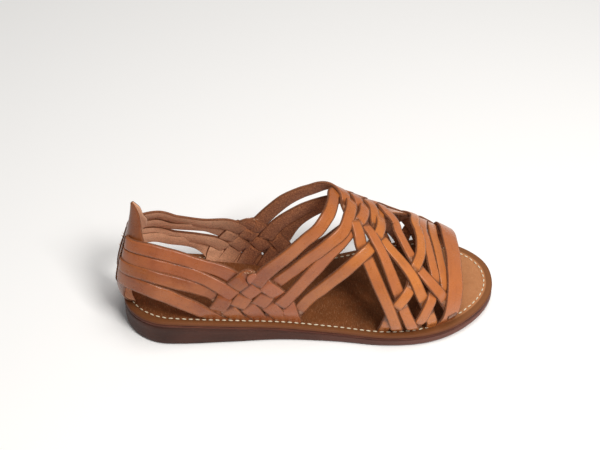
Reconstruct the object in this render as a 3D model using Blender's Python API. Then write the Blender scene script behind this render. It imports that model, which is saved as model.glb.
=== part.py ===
# Huarache sandal for the right foot: a low wedge sole and an upper woven from leather straps.
# Metres, +Z up. X runs from the heel to the toe, Y from the outer (lateral) side to the inner
# (medial) side. The origin is on the floor under the middle of the heel, ORIGIN_X ahead of the
# heel's back; the shapes below are worked out from the heel's back and moved as they are built.

import math

import bpy
import numpy as np

# Driving sizes of the sole
LENGTH = 0.262
ORIGIN_X = 0.040
BALL_WIDTH = 0.0885
HEEL_STACK = 0.0228
BALL_STACK = 0.0106
TOE_SPRING = 0.0029
INSOLE_THICK = 0.0023
MIDSOLE_THICK = 0.0025
LAYER_GAP = 0.0003
SOLE_EDGE_ROUND = 0.0022
RIM = 0.005

# Driving sizes of the upper
STRAP_THICK = 0.0020
QUARTER_STRAP_WIDTH = 0.0100
LOW_QUARTER_WIDTH = 0.0112
INNER_QUARTER_WIDTH = 0.0122
# Shares of the length at which a quarter strap's width changes
NARROW_TO = 0.02
WIDE_FROM = 0.07
QUARTER_TO = 0.22
BRAID_FROM = 0.28
BRAID_STRAP_WIDTH = 0.0112
INSTEP_STRAP_WIDTH = 0.0098
VAMP_STRAP_WIDTH = 0.0084
TOE_STRAP_WIDTH = 0.0082
TOE_BAND_WIDTH = 0.0132
WELD = 0.0008
TUCK = 0.0005
HEEL_RISE = 0.0895
INSTEP_RISE = 0.0960
BULGE = 0.0080
BULGE_HEIGHT = 0.0120
BULGE_FADE = 0.0400
COUNTER_THICK = 0.0018
SLOT_CLEARANCE = 0.0003
SLOT_PAST = 0.0012
FOOT_UPRIGHT = 0.0015
FOOT_TWIST = 1.3
FOOT_SLANT = 0.5

# Fineness of the solids, and the distances that count as touching and apart
SOLE_STATIONS = 40
EDGE_STEPS = 3
STRAP_STATION = 0.0160
STRAP_TURN = math.radians(28)
TRACE_STEPS = 16
TOUCH = 0.0020
CROSSINGS_APART = 0.0200
SMALL_STEP = 0.002
SMOOTH_ANGLE = math.radians(40)


def table(names, rows):
    """Columns of a table by name, as arrays."""
    values = np.array(rows, float)
    return {name: values[:, i] for i, name in enumerate(names.split())}


# Half widths as shares of BALL_WIDTH, and the wedge's height as a share of what the heel stands
# higher than the ball. The ends of the outline are rounded by end_rounding.
SOLE = table("along lateral medial wedge", [
    (0.00, 0.350, 0.322, 0.98),
    (0.12, 0.395, 0.362, 1.00),
    (0.28, 0.394, 0.356, 0.68),
    (0.42, 0.385, 0.333, 0.34),
    (0.56, 0.421, 0.407, 0.10),
    (0.70, 0.480, 0.520, 0.00),
    (0.84, 0.463, 0.593, 0.00),
    (1.00, 0.373, 0.565, 0.00),
])
HEEL_ROUND = 0.12
HEEL_POWER = 2.2
TOE_ROUND = 0.25
TOE_POWER = 2.25
SPRING_START = 0.70

# Sections of the last. The ridge is the top line that each section climbs to from both sides:
# ridge_x is a share of LENGTH, ridge_y of BALL_WIDTH, heel and instep are the parts that
# HEEL_RISE and INSTEP_RISE have in its height, lean and climb are the powers of the section's
# cosine and sine, and bulge is a share of BULGE.
LAST = table("along ridge_x ridge_y heel instep lean climb bulge", [
    (0.0, 0.053, 0.000, 1.00, 0.00, 2.50, 1.00, 1.00),
    (0.1, 0.135, 0.000, 1.00, 0.00, 3.00, 1.00, 0.62),
    (0.2, 0.215, 0.000, 0.80, 0.20, 2.80, 1.00, 0.25),
    (0.3, 0.305, 0.011, 0.40, 0.60, 1.20, 0.98, 0.12),
    (0.4, 0.405, 0.034, 0.00, 1.02, 0.50, 0.92, 0.06),
    (0.5, 0.505, 0.068, 0.00, 1.00, 0.52, 0.84, 0.19),
    (0.6, 0.600, 0.090, 0.00, 0.83, 0.62, 0.78, 0.37),
    (0.7, 0.700, 0.090, 0.00, 0.64, 0.66, 0.75, 0.50),
    (0.8, 0.800, 0.090, 0.00, 0.46, 0.72, 0.75, 0.50),
    (0.9, 0.895, 0.096, 0.00, 0.29, 0.80, 0.75, 0.37),
    (1.0, 0.985, 0.102, 0.00, 0.17, 0.90, 0.75, 0.25),
])
WEAVE_LEAN = 0.13
WEAVE_LEAN_FROM = 0.42
WEAVE_LEAN_TO = 0.58

# Routes of the straps. along is the share of the way from heel to toe, around runs from -1 at
# the outer edge of the sole over the instep at 0 to 1 at its inner edge.
QUARTER_ROUTES = [
    [(0.000, -0.600), (0.060, -0.592), (0.130, -0.630), (0.200, -0.670), (0.270, -0.703),
     (0.304, -0.745), (0.340, -0.812), (0.373, -0.882), (0.400, -0.940), (0.420, -1.0)],
    [(0.000, -0.675), (0.066, -0.665), (0.131, -0.697), (0.200, -0.735), (0.252, -0.780),
     (0.280, -0.820), (0.307, -0.870), (0.335, -0.925), (0.358, -1.0)],
    [(0.000, -0.750), (0.068, -0.724), (0.131, -0.761), (0.200, -0.803), (0.232, -0.828),
     (0.256, -0.872), (0.280, -0.930), (0.300, -1.0)],
    [(0.000, -0.815), (0.070, -0.798), (0.101, -0.822), (0.131, -0.855), (0.196, -0.922),
     (0.222, -0.965), (0.240, -1.0)],
]
# The quarter straps' inner halves, written as on the outer side, onward from the heel
INNER_QUARTER_ROUTES = [
    [(0.060, -0.596), (0.130, -0.636), (0.200, -0.674), (0.270, -0.703),
     (0.304, -0.745), (0.340, -0.812), (0.373, -0.882), (0.400, -0.940), (0.420, -1.0)],
    [(0.030, -0.680), (0.060, -0.698), (0.100, -0.735), (0.140, -0.738), (0.180, -0.730),
     (0.220, -0.735), (0.252, -0.775), (0.280, -0.820), (0.307, -0.870), (0.335, -0.925),
     (0.358, -1.0)],
    [(0.030, -0.765), (0.080, -0.815), (0.120, -0.842), (0.150, -0.846), (0.190, -0.845),
     (0.232, -0.858), (0.256, -0.890), (0.280, -0.940), (0.300, -1.0)],
    [(0.030, -0.822), (0.080, -0.864), (0.110, -0.880), (0.150, -0.885), (0.180, -0.897),
     (0.210, -0.930), (0.228, -0.965), (0.240, -1.0)],
]
TURNED_UP_ROUTE = [(0.228, -1.0), (0.238, -0.930), (0.256, -0.877), (0.276, -0.812),
                   (0.304, -0.752), (0.328, -0.720), (0.352, -0.708)]
TURNED_DOWN_ROUTE = [(0.330, -0.705), (0.352, -0.735), (0.378, -0.780), (0.403, -0.823),
                     (0.425, -0.880), (0.440, -0.940), (0.450, -1.0)]
INSTEP_ROUTES = [
    [(0.262, -1.0), (0.287, -0.927), (0.307, -0.870), (0.334, -0.795), (0.376, -0.695),
     (0.428, -0.598), (0.478, -0.502), (0.513, -0.425), (0.537, -0.300), (0.557, -0.140),
     (0.578, 0.000), (0.592, 0.110), (0.604, 0.190), (0.615, 0.290), (0.627, 0.415),
     (0.649, 0.540), (0.672, 0.665), (0.701, 0.805), (0.735, 1.0)],
    [(0.318, -1.0), (0.343, -0.917), (0.370, -0.860), (0.400, -0.782), (0.478, -0.655),
     (0.531, -0.555), (0.576, -0.398), (0.597, -0.205), (0.617, 0.000), (0.635, 0.150),
     (0.657, 0.290), (0.684, 0.425), (0.704, 0.540), (0.724, 0.667), (0.744, 0.818), (0.780, 1.0)],
    [(0.375, -1.0), (0.402, -0.925), (0.434, -0.860), (0.487, -0.750), (0.531, -0.643),
     (0.572, -0.500), (0.603, -0.330), (0.632, -0.170), (0.655, 0.000), (0.678, 0.215),
     (0.704, 0.320), (0.735, 0.415), (0.763, 0.512), (0.784, 0.635), (0.799, 0.722),
     (0.814, 0.848), (0.830, 1.0)],
    [(0.440, -1.0), (0.462, -0.945), (0.487, -0.887), (0.535, -0.802), (0.588, -0.672),
     (0.636, -0.485), (0.657, -0.380), (0.677, -0.200), (0.697, 0.000), (0.720, 0.100),
     (0.744, 0.200), (0.764, 0.305), (0.796, 0.463), (0.824, 0.573), (0.849, 0.675),
     (0.871, 0.828), (0.884, 1.0)],
]
# The instep straps from the inner side, from their feet to the middle of the instep
INNER_INSTEP_STARTS = [
    [(0.262, 1.0), (0.287, 0.927), (0.307, 0.870), (0.334, 0.795), (0.376, 0.692),
     (0.428, 0.580), (0.478, 0.470), (0.513, 0.385), (0.537, 0.275), (0.557, 0.135), (0.578, 0.0)],
    [(0.318, 1.0), (0.343, 0.917), (0.370, 0.855), (0.400, 0.762), (0.478, 0.620),
     (0.531, 0.490), (0.570, 0.345), (0.597, 0.180), (0.617, 0.0)],
    [(0.375, 1.0), (0.402, 0.925), (0.430, 0.845), (0.462, 0.745), (0.500, 0.655),
     (0.540, 0.545), (0.580, 0.400), (0.615, 0.225), (0.655, 0.0)],
    [(0.480, 1.0), (0.500, 0.955), (0.530, 0.915), (0.560, 0.868), (0.590, 0.795),
     (0.620, 0.700), (0.650, 0.560), (0.672, 0.360), (0.686, 0.170), (0.697, 0.0)],
]
TOE_ROUTES = [
    [(0.695, -1.0), (0.704, -0.930), (0.719, -0.833), (0.744, -0.712), (0.760, -0.620),
     (0.767, -0.435), (0.781, -0.287), (0.788, -0.140), (0.782, 0.000)],
    [(0.777, -1.0), (0.786, -0.940), (0.798, -0.850), (0.811, -0.730), (0.822, -0.610),
     (0.826, -0.448), (0.819, -0.307), (0.813, -0.165), (0.806, 0.000)],
    [(0.874, -0.800), (0.869, -0.720), (0.858, -0.575), (0.849, -0.377), (0.841, -0.150),
     (0.838, 0.000)],
    [(0.866, -1.0), (0.872, -0.882), (0.877, -0.732), (0.879, -0.575), (0.878, -0.325),
     (0.879, -0.130), (0.878, 0.000)],
]

# The counter, from the sole up to the pull tab: half of its spread along the sole's edge
COUNTER = table("around spread", [
    (-1.000, 0.014),
    (-0.930, 0.015),
    (-0.860, 0.018),
    (-0.780, 0.030),
    (-0.700, 0.045),
    (-0.640, 0.051),
    (-0.580, 0.048),
    (-0.520, 0.038),
    (-0.450, 0.031),
    (-0.380, 0.024),
    (-0.330, 0.016),
    (-0.290, 0.009),
    (-0.260, 0.004),
])
COUNTER_COLUMNS = 10
SLIT_ALONG = 0.004
SLIT_RUN = 0.0050
COUNTER_CLEAR = 0.075
COUNTER_SETTLE = 0.0150


def hermite(xs, ys):
    """A smooth curve through points, with slopes from the neighbours of each point."""
    steps = np.diff(xs)
    rates = np.diff(ys) / steps
    inner = (rates[:-1] * steps[1:] + rates[1:] * steps[:-1]) / (steps[1:] + steps[:-1])
    slopes = np.concatenate([[rates[0]], inner, [rates[-1]]])

    def value(x):
        x = np.clip(np.asarray(x, float), xs[0], xs[-1])
        i = np.clip(np.searchsorted(xs, x, side="right") - 1, 0, len(steps) - 1)
        u = (x - xs[i]) / steps[i]
        near = (1 + 2 * u) * (1 - u) ** 2 * ys[i] + u * (1 - u) ** 2 * steps[i] * slopes[i]
        far = u ** 2 * (3 - 2 * u) * ys[i + 1] + u ** 2 * (u - 1) * steps[i] * slopes[i + 1]
        return near + far

    return value


def ease(x):
    x = np.clip(x, 0.0, 1.0)
    return x * x * (3 - 2 * x)


sole_curves = {name: hermite(SOLE["along"], SOLE[name]) for name in ("lateral", "medial", "wedge")}
last_curves = {name: hermite(LAST["along"], LAST[name]) for name in LAST if name != "along"}


def end_rounding(s):
    """How far the outline has opened at a share s of the length: 0 at its ends, 1 between."""
    heel = np.clip((HEEL_ROUND - s) / HEEL_ROUND, 0, 1)
    toe = np.clip((s - 1 + TOE_ROUND) / TOE_ROUND, 0, 1)
    return (1 - heel ** HEEL_POWER) ** (1 / HEEL_POWER) * (1 - toe ** TOE_POWER) ** (1 / TOE_POWER)


def outline_y(s, side, inset):
    """Edge of the sole at a share s of the length; side is -1 outer or 1 inner."""
    lateral = sole_curves["lateral"](s) * BALL_WIDTH
    medial = sole_curves["medial"](s) * BALL_WIDTH
    half = (lateral + medial) / 2 - inset
    return (medial - lateral) / 2 + side * half * end_rounding(s)


def spring(x):
    """Height of the underside over the floor."""
    return TOE_SPRING * np.clip((x / LENGTH - SPRING_START) / (1 - SPRING_START), 0, 1) ** 2


def top(x):
    """Height of the insole's upper face."""
    wedge = sole_curves["wedge"](np.clip(x / LENGTH, 0, 1))
    return BALL_STACK + (HEEL_STACK - BALL_STACK) * wedge + spring(x)


def share_of(t):
    """The share of the length at an even step t round the sole's edge, from heel 0 to toe 1."""
    return (1 - np.cos(np.pi * t)) / 2


def step_of(s):
    return np.sign(s) * np.arccos(1 - 2 * np.abs(s)) / np.pi


def last(t, around):
    """Point on the last. A negative t is on the other side, past the back of the heel."""
    t, around = np.broadcast_arrays(np.asarray(t, float), np.asarray(around, float))
    around = np.where(t < 0, -around, around)
    t = np.abs(t)
    s = share_of(t)
    lean = WEAVE_LEAN * ease((s - WEAVE_LEAN_FROM) / (WEAVE_LEAN_TO - WEAVE_LEAN_FROM))
    g = np.clip(around + lean * (1 - around ** 2), -1, 1)
    side = np.where(g < 0, -1.0, 1.0)
    run = LENGTH - 2 * RIM
    edge_x = RIM + run * s
    edge_y = outline_y(s, side, RIM)
    floor = top(edge_x)
    ridge_x = last_curves["ridge_x"](s) * LENGTH
    ridge_y = last_curves["ridge_y"](s) * BALL_WIDTH
    rise = last_curves["heel"](s) * HEEL_RISE + last_curves["instep"](s) * INSTEP_RISE
    angle = (1 - np.abs(g)) * np.pi / 2
    spread = np.clip(np.cos(angle), 0, 1) ** last_curves["lean"](s)
    height = rise * np.clip(np.sin(angle), 0, 1) ** last_curves["climb"](s)
    x = ridge_x + (edge_x - ridge_x) * spread * np.cos(angle)
    y = ridge_y + (edge_y - ridge_y) * spread
    up = np.clip((height - FOOT_UPRIGHT) / BULGE_HEIGHT, 0, 1)
    fade = np.exp(-(np.clip(height - BULGE_HEIGHT, 0, None) / BULGE_FADE) ** 2)
    push = last_curves["bulge"](s) * BULGE * up * (2 - up) * fade
    out = edge_normal(t, side)
    return np.stack([x + push * out[..., 0], y + push * out[..., 1], floor + height], -1)


def edge_point(t, side, inset):
    s = share_of(t)
    return np.stack([inset + (LENGTH - 2 * inset) * s, outline_y(s, side, inset)], -1)


def edge_normal(t, side):
    """Outward direction, in plan, of the sole's edge."""
    ahead = edge_point(np.clip(t + SMALL_STEP, 0, 1), side, RIM)
    behind = edge_point(np.clip(t - SMALL_STEP, 0, 1), side, RIM)
    along = ahead - behind
    along /= np.linalg.norm(along, axis=-1, keepdims=True)
    return np.stack([-along[..., 1] * side, along[..., 0] * side], -1)


def last_frame(t, around):
    """Point and outward normal of the last."""
    t = np.asarray(t, float)
    around = np.asarray(around, float)
    along = last(t + 2 * SMALL_STEP, around) - last(t - 2 * SMALL_STEP, around)
    upper = np.clip(around + 2 * SMALL_STEP, -1, 1)
    lower = np.clip(around - 2 * SMALL_STEP, -1, 1)
    across = last(t, upper) - last(t, lower)
    normal = np.cross(along, across)
    return last(t, around), normal / np.linalg.norm(normal, axis=-1, keepdims=True)


def smooth_route(points):
    """Fine points of a route, with t for the share along, through the route's own points."""
    points = np.array(points, float)
    points[:, 0] = step_of(points[:, 0])
    places = last(points[:, 0], points[:, 1])
    lengths = np.concatenate([[0], np.cumsum(np.linalg.norm(np.diff(places, axis=0), axis=1))])
    fine = np.linspace(0, lengths[-1], TRACE_STEPS * len(points))
    return np.stack([hermite(lengths, points[:, i])(fine) for i in range(2)], -1)


def mirrored(points):
    """The same route on the other side of the shoe."""
    return [(along, -around) for along, around in points]


def round_heel(inner, outer):
    """A quarter strap's route: from the inner foot, round the heel, to the outer foot."""
    return [(-along, around) for along, around in inner[::-1]] + outer


def over_instep(start, outer):
    """An instep strap's route from its inner foot: its own start, then the outer one's end."""
    return start + mirrored([point for point in outer if point[1] > 0])


def across_toes(points):
    """A toe strap's route: up one side and down the other."""
    return points + mirrored(points[-2::-1])


def steady(width):
    """Width table of a strap that keeps one width: along and width."""
    return [(0.0, width), (1.0, width)]


def quarter_widths(width):
    """Widths from the inner foot, at negative shares, round the heel to the outer foot."""
    return [(-BRAID_FROM, BRAID_STRAP_WIDTH), (-QUARTER_TO, INNER_QUARTER_WIDTH),
            (-WIDE_FROM, INNER_QUARTER_WIDTH), (-NARROW_TO, width), (QUARTER_TO, width),
            (BRAID_FROM, BRAID_STRAP_WIDTH)]


INSTEP_WIDTHS = [(0.36, BRAID_STRAP_WIDTH), (0.44, INSTEP_STRAP_WIDTH),
                 (0.58, INSTEP_STRAP_WIDTH), (0.68, VAMP_STRAP_WIDTH)]


def new_strap(family, number, route, widths, feet=(True, True), tuck=0.0):
    """A strap; tuck is how far it lies under the neighbours that overlap its edges."""
    return dict(family=family, number=number, route=route, widths=np.array(widths), feet=feet,
                tuck=tuck)


def strap_list():
    """Every strap, with its family, number, route, widths and which of its ends are feet."""
    straps = []
    for number, routes in enumerate(zip(INNER_QUARTER_ROUTES, QUARTER_ROUTES), 1):
        width = LOW_QUARTER_WIDTH if number == len(QUARTER_ROUTES) else QUARTER_STRAP_WIDTH
        straps.append(new_strap("quarter", number, round_heel(*routes), quarter_widths(width),
                                tuck=TUCK if number % 2 == 0 else 0.0))
    braid = steady(BRAID_STRAP_WIDTH)
    inner_routes = [over_instep(*routes) for routes in zip(INNER_INSTEP_STARTS, INSTEP_ROUTES)]
    for side, turn, routes in (("outer", list, INSTEP_ROUTES), ("inner", mirrored, inner_routes)):
        straps.append(new_strap("quarter", 0, turn(TURNED_DOWN_ROUTE), braid, (False, True)))
        straps.append(new_strap(side, 0, turn(TURNED_UP_ROUTE), braid, (True, False)))
        for number, route in enumerate(routes, 1):
            straps.append(new_strap(side, number, route, INSTEP_WIDTHS))
    toes = steady(TOE_STRAP_WIDTH)
    for number, route in zip((1, 2), TOE_ROUTES):
        straps.append(new_strap("toe", number, across_toes(route), toes))
    straps.append(new_strap("toe", 4, across_toes(TOE_ROUTES[2]), toes, (False, False), TUCK))
    straps.append(new_strap("toe", 5, across_toes(TOE_ROUTES[-1]), steady(TOE_BAND_WIDTH)))
    return straps


def width_at(strap, t):
    share = np.sign(t) * share_of(np.abs(t))
    return np.interp(share, strap["widths"][:, 0], strap["widths"][:, 1])


ORDER = {"toe": 0, "quarter": 1, "inner": 2, "outer": 3}


def lies_over(a, b):
    """Whether strap a passes over strap b where they cross: a plain weave."""
    if ORDER[a["family"]] > ORDER[b["family"]]:
        return not lies_over(b, a)
    if a["family"] == b["family"]:
        return a["number"] > b["number"]
    even = (a["number"] + b["number"]) % 2 == 0
    return not even if a["family"] == "toe" else even


def trace(strap):
    """Adds to a strap its fine places and their lengths along it."""
    strap["fine"] = smooth_route(strap["route"])
    strap["places"] = last(strap["fine"][:, 0], strap["fine"][:, 1])
    steps = np.linalg.norm(np.diff(strap["places"], axis=0), axis=1)
    strap["lengths"] = np.concatenate([[0], np.cumsum(steps)])
    strap["keys"] = []


def find_crossings(straps):
    """Gives each strap the lengths at which it passes over or under another."""
    for i, a in enumerate(straps):
        for b in straps[i + 1:]:
            gaps = np.linalg.norm(a["places"][:, None] - b["places"][None], axis=2)
            while gaps.min() < TOUCH:
                m, n = np.unravel_index(np.argmin(gaps), gaps.shape)
                over = 1 if lies_over(a, b) else -1
                a["keys"].append((a["lengths"][m], over))
                b["keys"].append((b["lengths"][n], -over))
                gaps[np.abs(a["lengths"] - a["lengths"][m]) < CROSSINGS_APART] = 1


def lift_levels(strap):
    """Lengths and heights over the last, between which the strap's height eases."""
    weave = (STRAP_THICK - WELD) / 2
    levels = [(length, sign * weave) for length, sign in sorted(strap["keys"])]
    if strap["family"] == "quarter" and strap["number"]:
        beside = COUNTER_THICK / 2 + SLOT_CLEARANCE + STRAP_THICK / 2
        t = strap["fine"][:, 0]
        for side in (-1, 1):
            slit = np.interp(step_of(side * SLIT_ALONG), t, strap["lengths"])
            clear = np.interp(step_of(side * COUNTER_CLEAR), t, strap["lengths"])
            levels += [(slit - side * SLIT_RUN / 2, -beside), (slit + side * SLIT_RUN / 2, beside),
                       (clear, beside)]
            levels.append((clear + side * COUNTER_SETTLE, 0.0))
    levels.append((-BRAID_STRAP_WIDTH, 0.0))
    levels.append((strap["lengths"][-1] + BRAID_STRAP_WIDTH, 0.0))
    return np.array(sorted(levels))


def lift_at(levels, lengths):
    i = np.clip(np.searchsorted(levels[:, 0], lengths, side="right") - 1, 0, len(levels) - 2)
    start, end = levels[i], levels[i + 1]
    return start[:, 1] + (end[:, 1] - start[:, 1]) * ease((lengths - start[:, 0]) / (end[:, 0] - start[:, 0]))


def place_at(strap, lengths):
    t = np.interp(lengths, strap["lengths"], strap["fine"][:, 0])
    return t, np.interp(lengths, strap["lengths"], strap["fine"][:, 1])


def station_lengths(strap, levels):
    """Where the strap has a cross-section: at each level, and between as its length and bend ask."""
    total = strap["lengths"][-1]
    stops = [0.0, total]
    stops += [x for x in levels[:, 0] if 0 < x < total]
    stops = sorted(stops)
    kept = [stops[0]]
    for stop in stops[1:]:
        if stop - kept[-1] < STRAP_STATION / 4:
            continue
        t, around = place_at(strap, np.array([kept[-1], stop]))
        normals = last_frame(t, around)[1]
        turn = math.acos(np.clip(np.dot(normals[0], normals[1]), -1, 1))
        parts = math.ceil(max((stop - kept[-1]) / STRAP_STATION, turn / STRAP_TURN))
        kept += list(kept[-1] + (stop - kept[-1]) * np.arange(1, parts + 1) / parts)
    kept[-1] = total
    return np.array(kept)


def strap_sections(strap, extra=0.0):
    """Corners of a strap's cross-sections, four to a section; extra widens and thickens it."""
    levels = lift_levels(strap)
    lengths = station_lengths(strap, levels)
    t, around = place_at(strap, lengths)
    places, normals = last_frame(t, around)
    centres = places + normals * (lift_at(levels, lengths) - strap["tuck"])[:, None]
    forward = np.gradient(places, axis=0)
    forward /= np.linalg.norm(forward, axis=1, keepdims=True)
    across = np.cross(normals, forward)
    across /= np.linalg.norm(across, axis=1, keepdims=True)
    half_widths = width_at(strap, t) / 2 + extra
    half_thick = STRAP_THICK / 2 + extra
    sections = []
    for i in range(len(lengths)):
        sections.append(section(centres[i], across[i] * half_widths[i], normals[i] * half_thick))
    if strap["feet"][0]:
        skew_to_foot(sections, lengths, t, around, across, strap, 0, extra)
    if strap["feet"][1]:
        skew_to_foot(sections, lengths, t, around, across, strap, -1, extra)
    return np.array(sections)


def section(centre, half_across, half_out):
    return [centre - half_across - half_out, centre + half_across - half_out,
            centre + half_across + half_out, centre - half_across + half_out]


def foot_section(t, around, across, half_width, half_thick):
    """The upright section of a strap where it enters its slot, level with the insole."""
    side = 1.0 if (around > 0) == (t > 0) else -1.0
    out = np.append(edge_normal(abs(t), side), 0.0)
    edge = np.array([-out[1], out[0], 0.0])
    aligned = float(np.dot(edge, across))
    edge *= math.copysign(1 / max(abs(aligned), FOOT_SLANT), aligned)
    corners = np.array(section(last(t, around), edge * half_width, out * half_thick))
    corners[:, 2] = top(corners[:, 0])
    return corners


def skew_to_foot(sections, lengths, t, around, across, strap, end, extra):
    """Turns the last sections level with the insole and adds the one at the slot's bottom."""
    half_width = width_at(strap, t[end]) / 2 + extra
    foot = foot_section(t[end], around[end], across[end], half_width, STRAP_THICK / 2 + extra)
    reach = 2 * half_width * FOOT_TWIST
    blend_from = np.array(foot) - np.mean(foot, axis=0)
    for i, length in enumerate(lengths):
        away = abs(length - lengths[end])
        if away < reach:
            corners = np.array(sections[i])
            centre = corners.mean(axis=0)
            share = ease(1 - away / reach)
            own = corners - centre
            sections[i] = centre + own * (1 - share) + blend_from * share
    sections[end] = foot
    bottom = foot.copy()
    bottom[:, 2] -= INSOLE_THICK
    if end == 0:
        sections.insert(0, bottom)
    else:
        sections.append(bottom)


def new_object(name, vertices, faces, smooth=True):
    mesh = bpy.data.meshes.new(name)
    mesh.from_pydata([(x - ORIGIN_X, y, z) for x, y, z in vertices], [], faces)
    mesh.validate()
    mesh.update()
    item = bpy.data.objects.new(name, mesh)
    bpy.context.collection.objects.link(item)
    if smooth:
        mesh.shade_smooth()
        mesh.set_sharp_from_angle(angle=SMOOTH_ANGLE)
    return item


def hide_guide(item):
    item.hide_render = True
    item.display_type = "WIRE"
    item.hide_set(True)


def tube_faces(sections, around):
    """Faces of a closed solid through sections that have the same number of corners."""
    faces = []
    for i in range(sections - 1):
        for j in range(around):
            k = (j + 1) % around
            a, b = i * around + j, i * around + k
            faces.append((a, b, b + around))
            faces.append((a, b + around, a + around))
    faces.append(tuple(reversed(range(around))))
    last_ring = (sections - 1) * around
    faces.append(tuple(last_ring + j for j in range(around)))
    return faces


def strap_object(name, strap, extra=0.0):
    sections = strap_sections(strap, extra)
    return new_object(name, sections.reshape(-1, 3), tube_faces(len(sections), 4))


def ring(inset, height):
    """Points round the sole: up the outer side and back down the inner one."""
    t = np.linspace(0, 1, SOLE_STATIONS + 1)
    outer = edge_point(t, -1, inset)
    inner = edge_point(t[-2:0:-1], 1, inset)
    plan = np.concatenate([outer, inner])
    return np.column_stack([plan, height(plan[:, 0])])


def slab(name, rings):
    """A solid of the sole's outline through rings from its underside to its upper face."""
    count = len(rings[0])
    faces = []
    for i in range(len(rings) - 1):
        for j in range(count):
            k = (j + 1) % count
            faces.append((i * count + j, i * count + k, (i + 1) * count + k, (i + 1) * count + j))
    upper = (len(rings) - 1) * count
    for j in range(SOLE_STATIONS):
        outer, outer_next = j, j + 1
        inner, inner_next = (count - j) % count, count - j - 1
        corners = []
        for corner in (outer, outer_next, inner_next, inner):
            if corner not in corners:
                corners.append(corner)
        faces.append(tuple(reversed(corners)))
        faces.append(tuple(upper + corner for corner in corners))
    return new_object(name, np.concatenate(rings), faces)


def make_outsole():
    under = INSOLE_THICK + MIDSOLE_THICK + 2 * LAYER_GAP
    rings = []
    for step in range(EDGE_STEPS + 1):
        angle = step / EDGE_STEPS * math.pi / 2
        inset = SOLE_EDGE_ROUND * (1 - math.sin(angle))
        lift = SOLE_EDGE_ROUND * (1 - math.cos(angle))
        rings.append(ring(inset, lambda x, lift=lift: spring(x) + lift))
    rings.append(ring(0.0, lambda x: top(x) - under))
    return slab("outsole", rings)


def make_midsole():
    upper = INSOLE_THICK + LAYER_GAP
    return slab("midsole", [ring(0.0, lambda x: top(x) - upper - MIDSOLE_THICK),
                            ring(0.0, lambda x: top(x) - upper)])


def make_insole():
    return slab("insole", [ring(0.0, lambda x: top(x) - INSOLE_THICK), ring(0.0, top)])


def boolean(item, operation, others, name):
    """A Boolean modifier of item with a collection of guide objects."""
    guides = bpy.data.collections.new(name)
    bpy.context.scene.collection.children.link(guides)
    for other in others:
        bpy.context.collection.objects.unlink(other)
        guides.objects.link(other)
        hide_guide(other)
    modifier = item.modifiers.new(name, "BOOLEAN")
    modifier.operation = operation
    modifier.solver = "EXACT"
    modifier.use_self = True
    modifier.operand_type = "COLLECTION"
    modifier.collection = guides


def make_counter():
    """The counter with its pull tab, upright in the insole's slot round the back."""
    spreads = hermite(-COUNTER["around"][::-1], COUNTER["spread"][::-1])
    columns = np.linspace(-1, 1, COUNTER_COLUMNS + 1)
    outer, inner = [], []
    for around in COUNTER["around"]:
        t = step_of(spreads(-around)) * columns
        places, normals = last_frame(t, np.full_like(t, around))
        if around == -1.0:
            out = edge_normal(np.abs(t), np.where(t < 0, 1.0, -1.0))
            normals = np.column_stack([out, np.zeros(len(out))])
            low = places - [0, 0, INSOLE_THICK]
            outer.append(low + normals * COUNTER_THICK / 2)
            inner.append(low - normals * COUNTER_THICK / 2)
        outer.append(places + normals * COUNTER_THICK / 2)
        inner.append(places - normals * COUNTER_THICK / 2)
    return sheet_object("heel_counter", np.array(outer), np.array(inner))


def sheet_object(name, outer, inner):
    """A closed solid between two grids of points."""
    rows, columns = outer.shape[:2]
    vertices = np.concatenate([outer.reshape(-1, 3), inner.reshape(-1, 3)])
    back = rows * columns
    faces = []
    for i in range(rows - 1):
        for j in range(columns - 1):
            a, b = i * columns + j, i * columns + j + 1
            c, d = b + columns, a + columns
            faces.append((a, d, c, b))
            faces.append((back + a, back + b, back + c, back + d))
    border = [j for j in range(columns)]
    border += [i * columns + columns - 1 for i in range(1, rows)]
    border += [(rows - 1) * columns + j for j in reversed(range(columns - 1))]
    border += [i * columns for i in reversed(range(1, rows - 1))]
    for a, b in zip(border, border[1:] + border[:1]):
        faces.append((a, b, back + b, back + a))
    return new_object(name, vertices, faces)


def foot_cutter(name, strap, end):
    """The slot that takes a strap's foot, cut right through the insole."""
    levels = lift_levels(strap)
    lengths = station_lengths(strap, levels)
    t, around = place_at(strap, lengths)
    places, normals = last_frame(t, around)
    forward = np.gradient(places, axis=0)
    across = np.cross(normals[end], forward[end] / np.linalg.norm(forward[end]))
    half_width = width_at(strap, t[end]) / 2 + SLOT_CLEARANCE
    foot = foot_section(t[end], around[end], across, half_width, STRAP_THICK / 2 + SLOT_CLEARANCE)
    return upright_prism(name, foot)


def upright_prism(name, corners):
    corners = np.array(corners)
    lower = corners - [0, 0, INSOLE_THICK + SLOT_PAST]
    upper = corners + [0, 0, SLOT_PAST]
    count = len(corners)
    vertices = np.concatenate([lower, upper])
    area = 0.0
    for a, b in zip(corners, np.roll(corners, -1, axis=0)):
        area += a[0] * b[1] - b[0] * a[1]
    order = range(count) if area > 0 else range(count - 1, -1, -1)
    loop = list(order)
    faces = [tuple(reversed(loop)), tuple(count + j for j in loop)]
    for a, b in zip(loop, loop[1:] + loop[:1]):
        faces.append((a, b, count + b, count + a))
    return new_object(name, vertices, faces, False)


def counter_cutter():
    """The slot round the back that takes the counter's lower edge."""
    spread = COUNTER["spread"][0] + SLOT_PAST / LENGTH
    t = np.linspace(-step_of(spread), step_of(spread), COUNTER_COLUMNS + 1)
    side = np.where(t < 0, 1.0, -1.0)
    out = edge_normal(np.abs(t), side)
    plan = last(t, np.full_like(t, -1.0))
    half = COUNTER_THICK / 2 + SLOT_CLEARANCE
    shift = np.column_stack([out * half, np.zeros(len(t))])
    return upright_prism("counter_slot", np.concatenate([plan + shift, (plan - shift)[::-1]]))


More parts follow.
